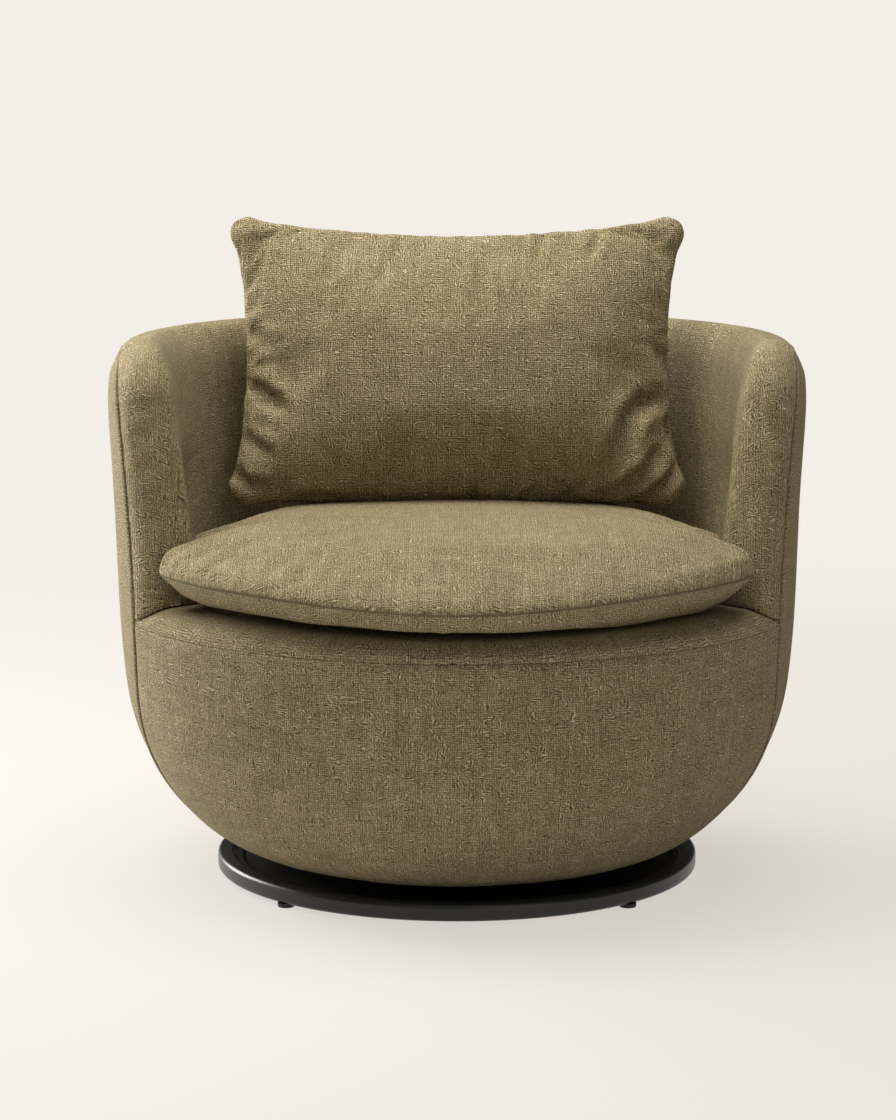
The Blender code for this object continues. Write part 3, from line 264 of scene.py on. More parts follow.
def makeSatinBlack(name, base, roughness):
    bench = Bench(name)
    place = bench.place()
    grain = bench.noise(place, scale=1400.0)
    wear = bench.noise(place, scale=24.0, detail=4.0, roughness=0.6)
    dust = bench.noise(place, scale=260.0, detail=3.0, roughness=0.7).ramp(0.62, 0.78)
    return bench.finish({
        "Base Color": bench.mix(dust * 0.12, tone(*base), tone(96, 92, 86)),
        "Roughness": roughness + (wear - 0.5) * 0.12 + (grain - 0.5) * 0.06,
        "Normal": bench.bump(grain, distance=0.00012, strength=0.5),
    })


def makeSteel(name):
    bench = Bench(name)
    place = bench.place()
    x, y, z = bench.parts(place)
    rings = ((x ** 2 + y ** 2) ** 0.5) * 900
    turned = bench.noise(bench.vector(rings, z * 40), scale=1.0, detail=3.0)
    stain = bench.noise(place, scale=60.0, detail=3.0)
    return bench.finish({
        "Base Color": bench.colours(stain, (0.3, tone(176, 177, 176)), (0.7, tone(202, 203, 200))),
        "Metallic": 1.0,
        "Roughness": 0.32 + (turned - 0.5) * 0.2,
        "Normal": bench.bump(turned, distance=0.00006, strength=0.5),
    })


def makePlywood(name):
    bench = Bench(name)
    x, y, z = bench.parts(bench.place())
    grain = bench.noise(bench.vector(x * 14, y * 210, z * 210), scale=1.0, detail=3.0, roughness=0.6)
    plies = (z / 0.0016).floor().pair().size()
    pores = bench.noise(bench.vector(x * 60, y * 900, z * 900), scale=1.0).ramp(0.6, 0.72)
    colour = bench.colours(grain, (0.25, tone(176, 138, 92)), (0.55, tone(206, 172, 124)),
                           (0.8, tone(222, 194, 150)))
    return bench.finish({
        "Base Color": bench.mix(plies * 0.16 + pores * 0.3, colour, tone(130, 94, 58)),
        "Roughness": 0.62 + (grain - 0.5) * 0.2,
        "Normal": bench.bump(grain, distance=0.0003, strength=0.6),
    })


def makeLining(name):
    bench = Bench(name)
    place = bench.place()
    x, y, z = bench.parts(place)
    fibre = bench.noise(place, scale=480.0, detail=4.0, roughness=0.7)
    dots = ((x / 0.0018).part() - 0.5) ** 2 + ((y / 0.0018).part() - 0.5) ** 2
    pressed = 1 - dots.ramp(0.02, 0.07)
    colour = bench.mix(fibre.ramp(0.35, 0.75), tone(24, 24, 25), tone(52, 52, 54))
    return bench.finish({
        "Base Color": bench.mix(pressed * 0.4, colour, tone(12, 12, 12)),
        "Roughness": 0.85 + (fibre - 0.5) * 0.2,
        "Normal": bench.bump(fibre - pressed * 0.5, distance=0.0003, strength=0.7),
    })


def makeThread(name):
    bench = Bench(name)
    twist = bench.noise(bench.place(), scale=1900.0)
    return bench.finish({
        "Base Color": bench.mix(twist.ramp(0.35, 0.65), tone(150, 137, 104), tone(205, 194, 164)),
        "Roughness": 0.75 + (twist - 0.5) * 0.2,
        "Normal": bench.bump(twist, distance=0.0002, strength=0.6),
    })


def makePlatform(name):
    bench = Bench(name)
    place = bench.place()
    x, y, z = bench.parts(place)
    warp = (x / 0.0011).part() - 0.5
    weft = (y / 0.0011).part() - 0.5
    weave = 1 - (warp * weft).size() * 4
    soft = bench.noise(place, scale=30.0, detail=3.0)
    return bench.finish({
        "Base Color": bench.colours(soft, (0.3, tone(206, 198, 176)), (0.7, tone(226, 219, 200))),
        "Roughness": 0.9 + (weave - 0.5) * 0.05,
        "Normal": bench.bump(weave, distance=0.0003, strength=0.6),
    })


finishes = {
    "upholstery": makeTweed("tweed"),
    "base_metal": makeSatinBlack("satin_black", (33, 34, 37), 0.30),
    "bearing_steel": makeSteel("zinc_steel"),
    "frame_wood": makePlywood("plywood"),
    "deck_foam": makePlatform("platform_cloth"),
    "dust_cloth": makeLining("lining_cloth"),
    "black_plastic": makeSatinBlack("black_nylon", (30, 30, 31), 0.55),
}
for node in nodes.values():
    for place in node.material_slots:
        place.material = finishes[place.material.name]
print("finishes made:", len(finishes))


# helpers for meshes

def selectOnly(piece):
    if bpy.context.object and bpy.context.object.mode != "OBJECT":
        bpy.ops.object.mode_set(mode="OBJECT")
    bpy.ops.object.select_all(action="DESELECT")
    piece.select_set(True)
    bpy.context.view_layer.objects.active = piece


def added(primitive, name, location=(0, 0, 0), **settings):
    # a new primitive, named, and alone in the selection
    bpy.ops.object.select_all(action="DESELECT")
    primitive(location=location, **settings)
    piece = bpy.context.object
    piece.name = piece.data.name = name
    return piece


def edit(kind="VERT"):
    # into edit mode, with all selected
    bpy.ops.object.mode_set(mode="EDIT")
    bpy.ops.mesh.select_mode(type=kind)
    bpy.ops.mesh.select_all(action="SELECT")


def turnOutwards():
    # out of edit mode, with all faces pointing outwards
    bpy.ops.mesh.select_all(action="SELECT")
    bpy.ops.mesh.normals_make_consistent(inside=False)
    bpy.ops.object.mode_set(mode="OBJECT")


def applied(piece, kind, **settings):
    selectOnly(piece)
    modifier = piece.modifiers.new(kind.lower(), kind)
    for name, value in settings.items():
        setattr(modifier, name, value)
    bpy.ops.object.modifier_apply(modifier=modifier.name)


def places(piece, what="co"):
    found = np.zeros(len(piece.data.vertices) * 3)
    piece.data.vertices.foreach_get(what, found)
    return found.reshape(-1, 3)


def shape(piece):
    # where the points of a mesh are, and the way each one faces
    return places(piece), places(piece, "normal")


def moveTo(piece, where):
    piece.data.vertices.foreach_set("co", np.asarray(where, np.float32).ravel())
    piece.data.update()


def note(piece, name, values, kind="FLOAT"):
    if name in piece.data.attributes:
        piece.data.attributes.remove(piece.data.attributes[name])
    made = piece.data.attributes.new(name, kind, "POINT")
    made.data.foreach_set("value" if kind == "FLOAT" else "vector", np.asarray(values, np.float32).ravel())


def noteCloth(piece, u, v, sheet):
    # where each point lies on its cloth; every sheet has a weave of its own
    note(piece, "cloth", np.stack((u, v, np.broadcast_to(sheet, len(u))), 1), "FLOAT_VECTOR")


def smooth(low, high, values):
    share = np.clip((values - low) / (high - low), 0, 1)
    return share * share * (3 - 2 * share)


def bump(values, at, width):
    return np.exp(-((values - at) / width) ** 2)


def radiusOf(where):
    return np.hypot(where[:, 0], where[:, 1])


def turnOf(where, fromBack=False):
    # the angle round the tub's axis, from the front or from the back
    return np.arctan2(where[:, 0], where[:, 1] if fromBack else -where[:, 1])


def treeOf(piece):
    mesh = piece.data
    return BVHTree.FromPolygons([v.co[:] for v in mesh.vertices], [p.vertices[:] for p in mesh.polygons])


def distanceTo(where, trees, farthest=0.08):
    # how far each point is from the nearest of some surfaces, and the way there
    found = np.full(len(where), farthest)
    way = np.zeros((len(where), 3))
    for tree in trees:
        for i, point in enumerate(where):
            spot, facing, index, far = tree.find_nearest(point, found[i])
            if spot is not None and far < found[i]:
                found[i] = far
                way[i] = np.array(spot) - point
    return found, way / np.maximum(found, 1e-9)[:, None]


def runLengths(line):
    return np.concatenate(([0], np.cumsum(np.linalg.norm(np.diff(line, axis=0), axis=1))))


def distanceToLine(where, line):
    # how far each point is from a chain of points, how far along the chain, 0 to 1, and on which side
    line = np.asarray(line, float)
    starts = runLengths(line)
    best = np.full(len(where), 9.0)
    along = np.zeros(len(where))
    side = np.zeros(len(where))
    for i, length in enumerate(np.linalg.norm(np.diff(line, axis=0), axis=1)):
        if length == 0:
            continue
        run = (line[i + 1] - line[i]) / length
        offset = where - line[i]
        reach = np.clip(offset @ run, 0, length)
        far = np.linalg.norm(offset - reach[:, None] * run, axis=1)
        nearer = far < best
        best[nearer] = far[nearer]
        along[nearer] = ((starts[i] + reach) / starts[-1])[nearer]
        if line.shape[1] == 2:
            side[nearer] = (run[0] * offset[:, 1] - run[1] * offset[:, 0])[nearer]
    return best, along, side


def paddedCopy(node, name, levels, seam=None, tight=True, sharp=50, onSeam=0.0008):
    # the CAD solid as a fine smooth mesh, tight at its sharp edges or at a seam line
    piece = bpy.data.objects.new(name, nodes[node].data.copy())
    scene.collection.objects.link(piece)
    selectOnly(piece)
    edit("EDGE")
    bpy.ops.mesh.remove_doubles(threshold=0.00005)
    bpy.ops.mesh.tris_convert_to_quads(face_threshold=math.pi, shape_threshold=math.pi)
    bpy.ops.mesh.select_all(action="DESELECT")
    if tight and seam is None:
        bpy.ops.mesh.edges_select_sharp(sharpness=math.radians(sharp))
    elif tight:
        bpy.ops.object.mode_set(mode="OBJECT")
        near = distanceToLine(places(piece), seam)[0] < onSeam
        for edge in piece.data.edges:
            edge.select = bool(near[edge.vertices[0]] and near[edge.vertices[1]])
        bpy.ops.object.mode_set(mode="EDIT")
    if tight:
        bpy.ops.transform.edge_crease(value=1.0)
    bpy.ops.object.mode_set(mode="OBJECT")
    applied(piece, "SUBSURF", levels=levels, render_levels=levels)
    bpy.ops.object.shade_smooth()
    return piece


def keepLargest(piece):
    # drops crumbs that a remesh leaves beside the piece
    selectOnly(piece)
    parent = list(range(len(piece.data.vertices)))

    def root(i):
        while parent[i] != i:
            parent[i] = parent[parent[i]]
            i = parent[i]
        return i

    for edge in piece.data.edges:
        parent[root(edge.vertices[0])] = root(edge.vertices[1])
    roots = np.array([root(i) for i in range(len(parent))])
    kept = np.bincount(roots).argmax()
    if (roots != kept).any():
        edit()
        bpy.ops.mesh.select_all(action="DESELECT")
        bpy.ops.object.mode_set(mode="OBJECT")
        for vert, own in zip(piece.data.vertices, roots):
            vert.select = bool(own != kept)
        bpy.ops.object.mode_set(mode="EDIT")
        bpy.ops.mesh.delete(type="VERT")
        bpy.ops.object.mode_set(mode="OBJECT")


sewing = {
    "riseAt": 0.006,  # the cover stands up beside the seam
    "riseWidth": 0.01,
    "crown": (0.585, 0.615),  # heights between which the seam fades
    "crownFade": 0.8,
    "wall": (0.002, 0.006),  # nearer than this the cover moves along the seam's wall
    "closes": 0.0008,
    "gap": 0.0001,
}


def sewOn(piece, neighbours, dip, dipWidth, rise=0.0):
    # gives an edge the valley of a sewn seam, and notes how far each point is from it
    where, facing = shape(piece)
    far, way = distanceTo(where, [covers[name] for name in neighbours])
    lift = rise * bump(far, sewing["riseAt"], sewing["riseWidth"]) - dip * bump(far, 0, dipWidth)
    lift *= 1 - sewing["crownFade"] * smooth(*sewing["crown"], where[:, 2])
    # close to the seam it moves along the seam's wall, so that the two edges stay together
    towards = np.sum(facing * way, axis=1) * (1 - smooth(*sewing["wall"], far))
    closing = np.where(far < sewing["closes"], np.maximum(far - sewing["gap"], 0) / 2, 0)
    moveTo(piece, where + (facing - way * towards[:, None]) * lift[:, None] + way * closing[:, None])
    note(piece, "seam", far)
    return far


def unevenness(where, far, height, size, seed, starts, isFull):
    # slow bumps and hollows, which start a little away from the seam
    offset = Vector((seed, seed * 1.7, seed * 2.3))
    waves = np.array([noise.noise(Vector(point) / size + offset) for point in where])
    return height * waves * smooth(starts, isFull, far)


def gathers(values, coarse, fine, fineShare):
    # puckers along a seam, coarse and fine: how close they stand, and their place in the noise
    return np.array([noise.noise(Vector((value * coarse[0], *coarse[1:])))
                     + fineShare * noise.noise(Vector((value * fine[0], *fine[1:]))) for value in values])


foldShape = {
    "tip": 0.03,  # a fold fades towards both tips
    "fade": 0.6,
    "ridgeAt": 1.9,  # these three count in widths of the fold
    "ridgeWidth": 1.1,
    "within": 6,
    "otherRidge": 0.5,
}


def creases(flat, folds, share):
    # soft folds along chains of points: points, width, depth, and the height of the ridge beside
    moved = np.zeros(len(flat))
    tip = foldShape["tip"]
    for points, width, depth, ridge in folds:
        far, along, side = distanceToLine(flat, points)
        taper = np.sin(np.pi * np.clip(along * (1 - 2 * tip) + tip, 0, 1)) ** foldShape["fade"]
        beyond = np.where((along <= 0) | (along >= 1), bump(far, 0, width), 1)
        reach, spread = foldShape["ridgeAt"] * width, foldShape["ridgeWidth"] * width
        swell = ridge * (bump(side, reach, spread) + foldShape["otherRidge"] * bump(side, -reach, spread))
        swell *= far < foldShape["within"] * width
        moved += (-depth * bump(far, 0, width) + swell * beyond) * taper
    return moved * share


def dress(piece, body, slot, *standsFor):
    piece.data.materials.clear()
    piece.data.materials.append(finishes[slot])
    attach(piece, body)
    if standsFor:
        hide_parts(*standsFor)


filling = {"quality": 5, "mass": 0.25, "frames": 20, "leastHold": 0.01}


def plump(piece, settings, hold):
    # cloth under pressure, held where the seam is
    start = places(piece)
    held = piece.vertex_groups.new(name="held")
    for i, weight in enumerate(hold):
        if weight > filling["leastHold"]:
            held.add([i], float(weight), "REPLACE")
    modifier = piece.modifiers.new("cloth", "CLOTH")
    cloth = modifier.settings
    cloth.quality = filling["quality"]
    cloth.mass = filling["mass"]
    cloth.tension_stiffness = cloth.compression_stiffness = settings["stretch"]
    cloth.shear_stiffness = settings["stretch"] / 2
    cloth.bending_stiffness = settings["bending"]
    cloth.use_pressure = True
    cloth.uniform_pressure_force = settings["pressure"]
    cloth.shrink_min = settings["shrink"]
    cloth.vertex_group_mass = "held"
    cloth.effector_weights.gravity = 0
    modifier.collision_settings.use_collision = False
    for number in range(1, filling["frames"] + 1):
        scene.frame_set(number)
    seen = piece.evaluated_get(bpy.context.evaluated_depsgraph_get())
    moved = places(seen) - start
    scene.frame_set(1)
    piece.modifiers.remove(modifier)
    piece.vertex_groups.remove(held)
    far = np.linalg.norm(moved, axis=1)
    moved *= np.minimum(1, settings["cap"] / np.maximum(far, 1e-9))[:, None]
    moveTo(piece, start + moved)
    print("  plumped", piece.name, "by", round(float(far.mean()) * 1000, 1), "mm, at most",
          round(float(far.max()) * 1000, 1), "mm")


# the tub's profile, as the CAD has it: the bowl as shares of its radius and height, then the wall
tub = {
    "hem": 0.0274,
    "waist": 0.317,
    "waistRadius": 0.398,
    "bowl": ((0.515, 0), (0.603, 0.017), (0.688, 0.057), (0.809, 0.192), (0.916, 0.406), (0.970, 0.596),
             (0.9925, 0.865), (1, 1)),
    "wall": ((0.400, 0.40), (0.4085, 0.570), (0.400, 0.612), (0.370, 0.633)),
    "leastRadius": 0.30,
}
tubLine = np.array(tub["bowl"]) * (tub["waistRadius"], tub["waist"] - tub["hem"]) + (0, tub["hem"])
tubLine = np.vstack((tubLine, tub["wall"]))


def noteRoundTub(piece, where, fromBack, sheet):
    # the cloth goes round the tub, and up its profile
    radius = radiusOf(where)
    along = distanceToLine(np.stack((radius, where[:, 2]), 1), tubLine)[1]
    noteCloth(piece, turnOf(where, fromBack) * np.maximum(radius, tub["leastRadius"]),
              along * runLengths(tubLine)[-1], sheet)


# the sewn covers, each a fine copy of its panel; their seams are drawn from one another
coverNames = {"outer_panel": "outer_cover", "front_panel": "front_cover", "inner_panel": "inner_cover",
              "deck_border": "deck_roll"}
smoothPanels = {panel: paddedCopy(panel, name, 3) for panel, name in coverNames.items()}
covers = {panel: treeOf(piece) for panel, piece in smoothPanels.items()}
print("panels smoothed")


outer = {
    "rise": 0.0012,
    "dip": 0.0006,
    "dipWidth": 0.0025,
    "uneven": (0.0007, 0.11, 2.0, 0.01, 0.05),  # height, size, seed, and from where to where it sets in
    "sheet": 0.0,
}


def makeOuterCover():
    piece = smoothPanels["outer_panel"]
    far = sewOn(piece, ("inner_panel", "front_panel"), outer["dip"], outer["dipWidth"], outer["rise"])
    where, facing = shape(piece)
    moveTo(piece, where + facing * unevenness(where, far, *outer["uneven"])[:, None])
    noteRoundTub(piece, where, True, outer["sheet"])
    dress(piece, "tub", "upholstery", "outer_panel")


# the front cover, with a dart at each side of its hem
front = {
    "dip": 0.0016,
    "dipWidth": 0.005,
    "uneven": (0.0010, 0.10, 5.0, 0.01, 0.06),
    "darts": (((-0.1235, -0.262, 0.0625), (-0.1030, -0.222, 0.0365)),
              ((0.1262, -0.262, 0.0635), (0.1052, -0.222, 0.0365))),
    "dartDip": 0.0022,
    "dartWidth": 0.0045,
    "dartLine": 0.0006,  # the least distance that a dart's dark line shows, part seam line and part painted shade
    "sheet": 0.31,
}


def makeFrontCover():
    piece = smoothPanels["front_panel"]
    far = sewOn(piece, ("outer_panel", "deck_border"), front["dip"], front["dipWidth"])
    where, facing = shape(piece)
    seam = far.copy()
    lift = unevenness(where, far, *front["uneven"])
    for dart in front["darts"]:
        near = distanceToLine(where, dart)[0]
        lift -= front["dartDip"] * bump(near, 0, front["dartWidth"])
        seam = np.minimum(seam, near + front["dartLine"])
    moveTo(piece, where + facing * lift[:, None])
    note(piece, "seam", seam)
    noteRoundTub(piece, where, False, front["sheet"])
    dress(piece, "tub", "upholstery", "front_panel")


# the inner cover: inner wall, rim roll and arm fronts
inner = {
    "dip": 0.0021,
    "dipWidth": 0.0065,
    "uneven": (0.0012, 0.09, 9.0, 0.01, 0.05),
    "fill": 0.012,  # behind each arm front, so that the wall runs on from it without a hollow
    "fillAt": (1.52, 0.26),  # turn from the back, and how wide
    "fillFrom": (0.450, 0.520),  # height
    "fillTo": (0.600, 0.660),
    "fillFacing": (0.1, 0.6),
    "foldsBefore": -0.08,
    "folds": (  # on the arm fronts: points as x and z, width, depth, ridge
        ([(-0.374, 0.556), (-0.352, 0.566), (-0.332, 0.566)], 0.007, 0.0012, 0.0008),
        ([(-0.372, 0.520), (-0.350, 0.540), (-0.325, 0.548)], 0.008, 0.0015, 0.0010),
        ([(-0.370, 0.488), (-0.352, 0.500), (-0.330, 0.505)], 0.007, 0.0012, 0.0008),
        ([(-0.366, 0.455), (-0.350, 0.462), (-0.334, 0.463)], 0.006, 0.0009, 0.0006),
        ([(0.372, 0.530), (0.352, 0.545), (0.328, 0.550)], 0.008, 0.0014, 0.0010),
        ([(0.370, 0.492), (0.350, 0.505), (0.332, 0.508)], 0.006, 0.0010, 0.0007),
    ),
    "armTurn": (1.2, 1.8),  # where the weave turns upright
    "armRadius": (0.334, 0.350),
    "armSlope": 0.8,
    "wallRadius": 0.33,
    "armStart": 0.339,
    "crown": 0.575,  # height from which the wall rolls over the rim
    "crownAt": 0.370,
    "crownRadius": 0.05,
    "sheet": 0.57,
}


def makeInnerCover():
    piece = smoothPanels["inner_panel"]
    far = sewOn(piece, ("outer_panel", "front_panel"), inner["dip"], inner["dipWidth"])
    where, facing = shape(piece)
    x, y, z = where.T
    radius, turn = radiusOf(where), turnOf(where, True)
    inward = -(where[:, :2] * facing[:, :2]).sum(1) / np.maximum(radius, 0.01)
    lift = unevenness(where, far, *inner["uneven"])
    lift += creases(where[:, (0, 2)], inner["folds"], y < inner["foldsBefore"])
    filled = smooth(*inner["fillFrom"], z) * (1 - smooth(*inner["fillTo"], z))
    filled = bump(np.abs(turn), *inner["fillAt"]) * filled * smooth(*inner["fillFacing"], inward)
    lift += inner["fill"] * filled
    moveTo(piece, where + facing * lift[:, None])
    # the weave runs round the wall and over the rim, and turns upright on the arm fronts
    onArm = smooth(*inner["armTurn"], np.abs(turn))
    across = smooth(*inner["armRadius"], radius) * onArm
    u = (turn * inner["wallRadius"] * (1 - across)
         + np.sign(turn) * (inner["armStart"] + np.abs(x)) * across)
    crown = inner["crown"]
    roll = np.clip(np.arctan2(z - crown, inner["crownAt"] - radius), 0, 3.14)
    rolled = np.where(z > crown, crown + inner["crownRadius"] * roll, z)
    outside = (z <= crown) & (radius > inner["crownAt"])
    rolled = np.where(outside, 2 * crown + 3.14 * inner["crownRadius"] - z, rolled)
    v = rolled * (1 - onArm) + (z + inner["armSlope"] * y) * onArm
    noteCloth(piece, u, v, inner["sheet"])
    dress(piece, "tub", "upholstery", "inner_panel")


# the deck: rounded border, with a short seam in the middle of the front, and the pad behind it
deck = {
    "dip": 0.0014,
    "dipWidth": 0.004,
    "uneven": (0.0008, 0.07, 12.0, 0.006, 0.03),
    "rollRadius": 0.355,  # the middle of the border's roll
    "rollHeight": 0.317,
    "centreSeam": -0.0055,  # its x; it lies before the y and below the turn that follow
    "centreBefore": -0.33,
    "centreBelow": 1.3,
    "centreDip": 0.0015,
    "centreWidth": 0.0035,
    "centreLine": 0.0008,
    "around": 0.39,
    "over": 0.033,
    "borderSheet": 0.83,
    "padSheet": 1.1,
}


def makeDeck():
    border = smoothPanels["deck_border"]
    far = sewOn(border, ("front_panel",), deck["dip"], deck["dipWidth"])
    where, facing = shape(border)
    roll = np.arctan2(where[:, 2] - deck["rollHeight"], radiusOf(where) - deck["rollRadius"])
    onFront = (where[:, 1] < deck["centreBefore"]) & (roll < deck["centreBelow"])
    centre = np.where(onFront, np.abs(where[:, 0] - deck["centreSeam"]), 9.0)
    lift = unevenness(where, far, *deck["uneven"]) - deck["centreDip"] * bump(centre, 0, deck["centreWidth"])
    moveTo(border, where + facing * lift[:, None])
    note(border, "seam", np.minimum(far, centre + deck["centreLine"]))
    noteCloth(border, turnOf(where) * deck["around"], roll * deck["over"], deck["borderSheet"])
    dress(border, "tub", "upholstery", "deck_border")
    pad = paddedCopy("deck_pad", "deck_cover", 2)
    where = places(pad)
    note(pad, "seam", np.full(len(where), 1.0))
    noteCloth(pad, where[:, 0], where[:, 1], deck["padSheet"])
    dress(pad, "tub", "upholstery", "deck_pad")


seat = {
    "shrinkFirst": 0.003,
    "shrinkOver": 0.03,
    "pressure": 4.0,
    "stretch": 15.0,
    "bending": 0.8,
    "shrink": -0.015,
    "cap": 0.008,
    "holdFrom": 0.001,  # distances from the seam
    "holdTo": 0.010,
    "restsBelow": 0.3405,
    "uneven": (0.0012, 0.09, 15.0, 0.01, 0.05),
    "underFirst": 0.0005,  # how far below the seam the band starts, before filling and after
    "under": 0.001,
    "seamDip": 0.0016,
    "seamWidth": 0.003,
    "seamLine": 0.0003,
    "gathers": ((14, 3.0, 0.5), (37, 9.0, 0.5), 0.6),
    "pucker": 0.0006,
    "puckerWidth": 0.014,
    "fullFront": 0.003,  # how far the stuffing fills the front edge, and the ends
    "fullEnds": 0.010,
    "ends": (0.45, 0.95),  # turns from the front
    "back": (1.55, 1.9),
    "fullAt": 0.020,
    "fullWidth": 0.055,
    "folds": (((-0.345, -0.060), (-0.300, -0.045), (-0.262, -0.050)),
              ((0.345, -0.060), (0.305, -0.045), (0.268, -0.050))),
    "foldDepth": 0.0050,
    "foldWidth": 0.009,
    "foldTail": 0.25,
    "bandBefore": -0.3,
    "bandSeam": -0.0148,  # x of the short seam across the band
    "bandDip": 0.0012,
    "bandWidth": 0.003,
    "bandLine": 0.0007,
    "bandRadius": 0.33,
    "nibAt": -0.388,  # y of the small tip below that seam
    "nibWidth": 0.006,
    "nibDepth": 0.0035,
    "pressed": 0.007,  # the pillow's weight presses the back down
    "pressedFrom": (-0.12, 0.06),
    "pressedFacing": (0.2, 0.7),
    "deckRadius": 0.355,
    "deckHeight": 0.3403,
    "borderHeight": 0.33,
    "slope": 0.35,
    "sheets": (1.3, 1.5),  # top and band
}


def seatSeam():
    # the widest point of each column of the CAD cushion
    columns = {}
    for vert in nodes["seat_cushion"].data.vertices:
        turn = round(math.degrees(math.atan2(vert.co.x, -vert.co.y)), 1)
        reach = math.hypot(vert.co.x, vert.co.y)
        if reach > 0.2 and (turn not in columns or reach > columns[turn][0]):
            columns[turn] = (reach, tuple(vert.co))
    return [columns[turn][1] for turn in sorted(columns)]


def seamHeights(line):
    turns = [math.atan2(x, -y) for x, y, z in line]
    order = sorted(range(len(line)), key=lambda i: turns[i])
    return [turns[i] for i in order], [line[i][2] for i in order]


def makeSeat():
    line = seatSeam()
    heights = seamHeights(line)
    piece = paddedCopy("seat_cushion", "seat_cushion_cover", 3, seam=line)
    where, facing = shape(piece)
    far = distanceToLine(where, line)[0]
    above = where[:, 2] > seat["restsBelow"]
    shrunk = seat["shrinkFirst"] * smooth(0.0, seat["shrinkOver"], far) * above
    moveTo(piece, where - facing * shrunk[:, None])
    below = where[:, 2] < np.interp(turnOf(where), *heights) - seat["underFirst"]
    plump(piece, seat, np.maximum(1 - smooth(seat["holdFrom"], seat["holdTo"], far), below))
    where, facing = shape(piece)
    x, y, z = where.T
    far = distanceToLine(where, line)[0]
    turn = turnOf(where)
    lift = -seat["seamDip"] * bump(far, 0, seat["seamWidth"])
    lift += seat["pucker"] * gathers(turn, *seat["gathers"]) * bump(far, 0, seat["puckerWidth"])
    lift += unevenness(where, far, *seat["uneven"]) * above
    # the stuffing fills the ends, up to where the back of the cushion starts
    fuller = (seat["fullEnds"] - seat["fullFront"]) * smooth(*seat["ends"], np.abs(turn))
    ends = (seat["fullFront"] + fuller) * (1 - smooth(*seat["back"], np.abs(turn)))
    beyond = np.maximum(far - seat["fullAt"], 0) / seat["fullWidth"]
    lift += ends * smooth(0.0, seat["fullAt"], far) * np.exp(-beyond) * (facing[:, 2] > 0)
    for fold in seat["folds"]:
        near, run, side = distanceToLine(where[:, :2], fold)
        lift -= (seat["foldDepth"] * bump(near, 0, seat["foldWidth"])
                 * smooth(0.0, seat["foldTail"], 1 - run) * above)
    below = z < np.interp(turn, *heights) - seat["under"]
    band = np.where((y < seat["bandBefore"]) & below, np.abs(x - seat["bandSeam"]), 9.0)
    lift -= seat["bandDip"] * bump(band, 0, seat["bandWidth"])
    where = where + facing * lift[:, None]
    nib = np.hypot(where[:, 0] - seat["bandSeam"], where[:, 1] - seat["nibAt"])
    where[:, 2] -= seat["nibDepth"] * bump(nib, 0, seat["nibWidth"]) * below
    where[:, 2] -= (seat["pressed"] * smooth(*seat["pressedFrom"], where[:, 1])
                    * smooth(*seat["pressedFacing"], facing[:, 2]) * above)
    onDeck = radiusOf(where) < seat["deckRadius"]
    where[:, 2] = np.maximum(where[:, 2], np.where(onDeck, seat["deckHeight"], seat["borderHeight"]))
    moveTo(piece, where)
    note(piece, "seam", np.minimum(far + seat["seamLine"], band + seat["bandLine"]))
    x, y, z = where.T
    radius = radiusOf(where)
    onBand = below & (radius > seat["bandRadius"])
    noteCloth(piece, np.where(onBand, turn * radius, x), np.where(onBand, z, y + seat["slope"] * z),
              np.where(below, seat["sheets"][1], seat["sheets"][0]))
    bpy.ops.object.shade_smooth()
    dress(piece, "cushion", "upholstery", "seat_cushion")


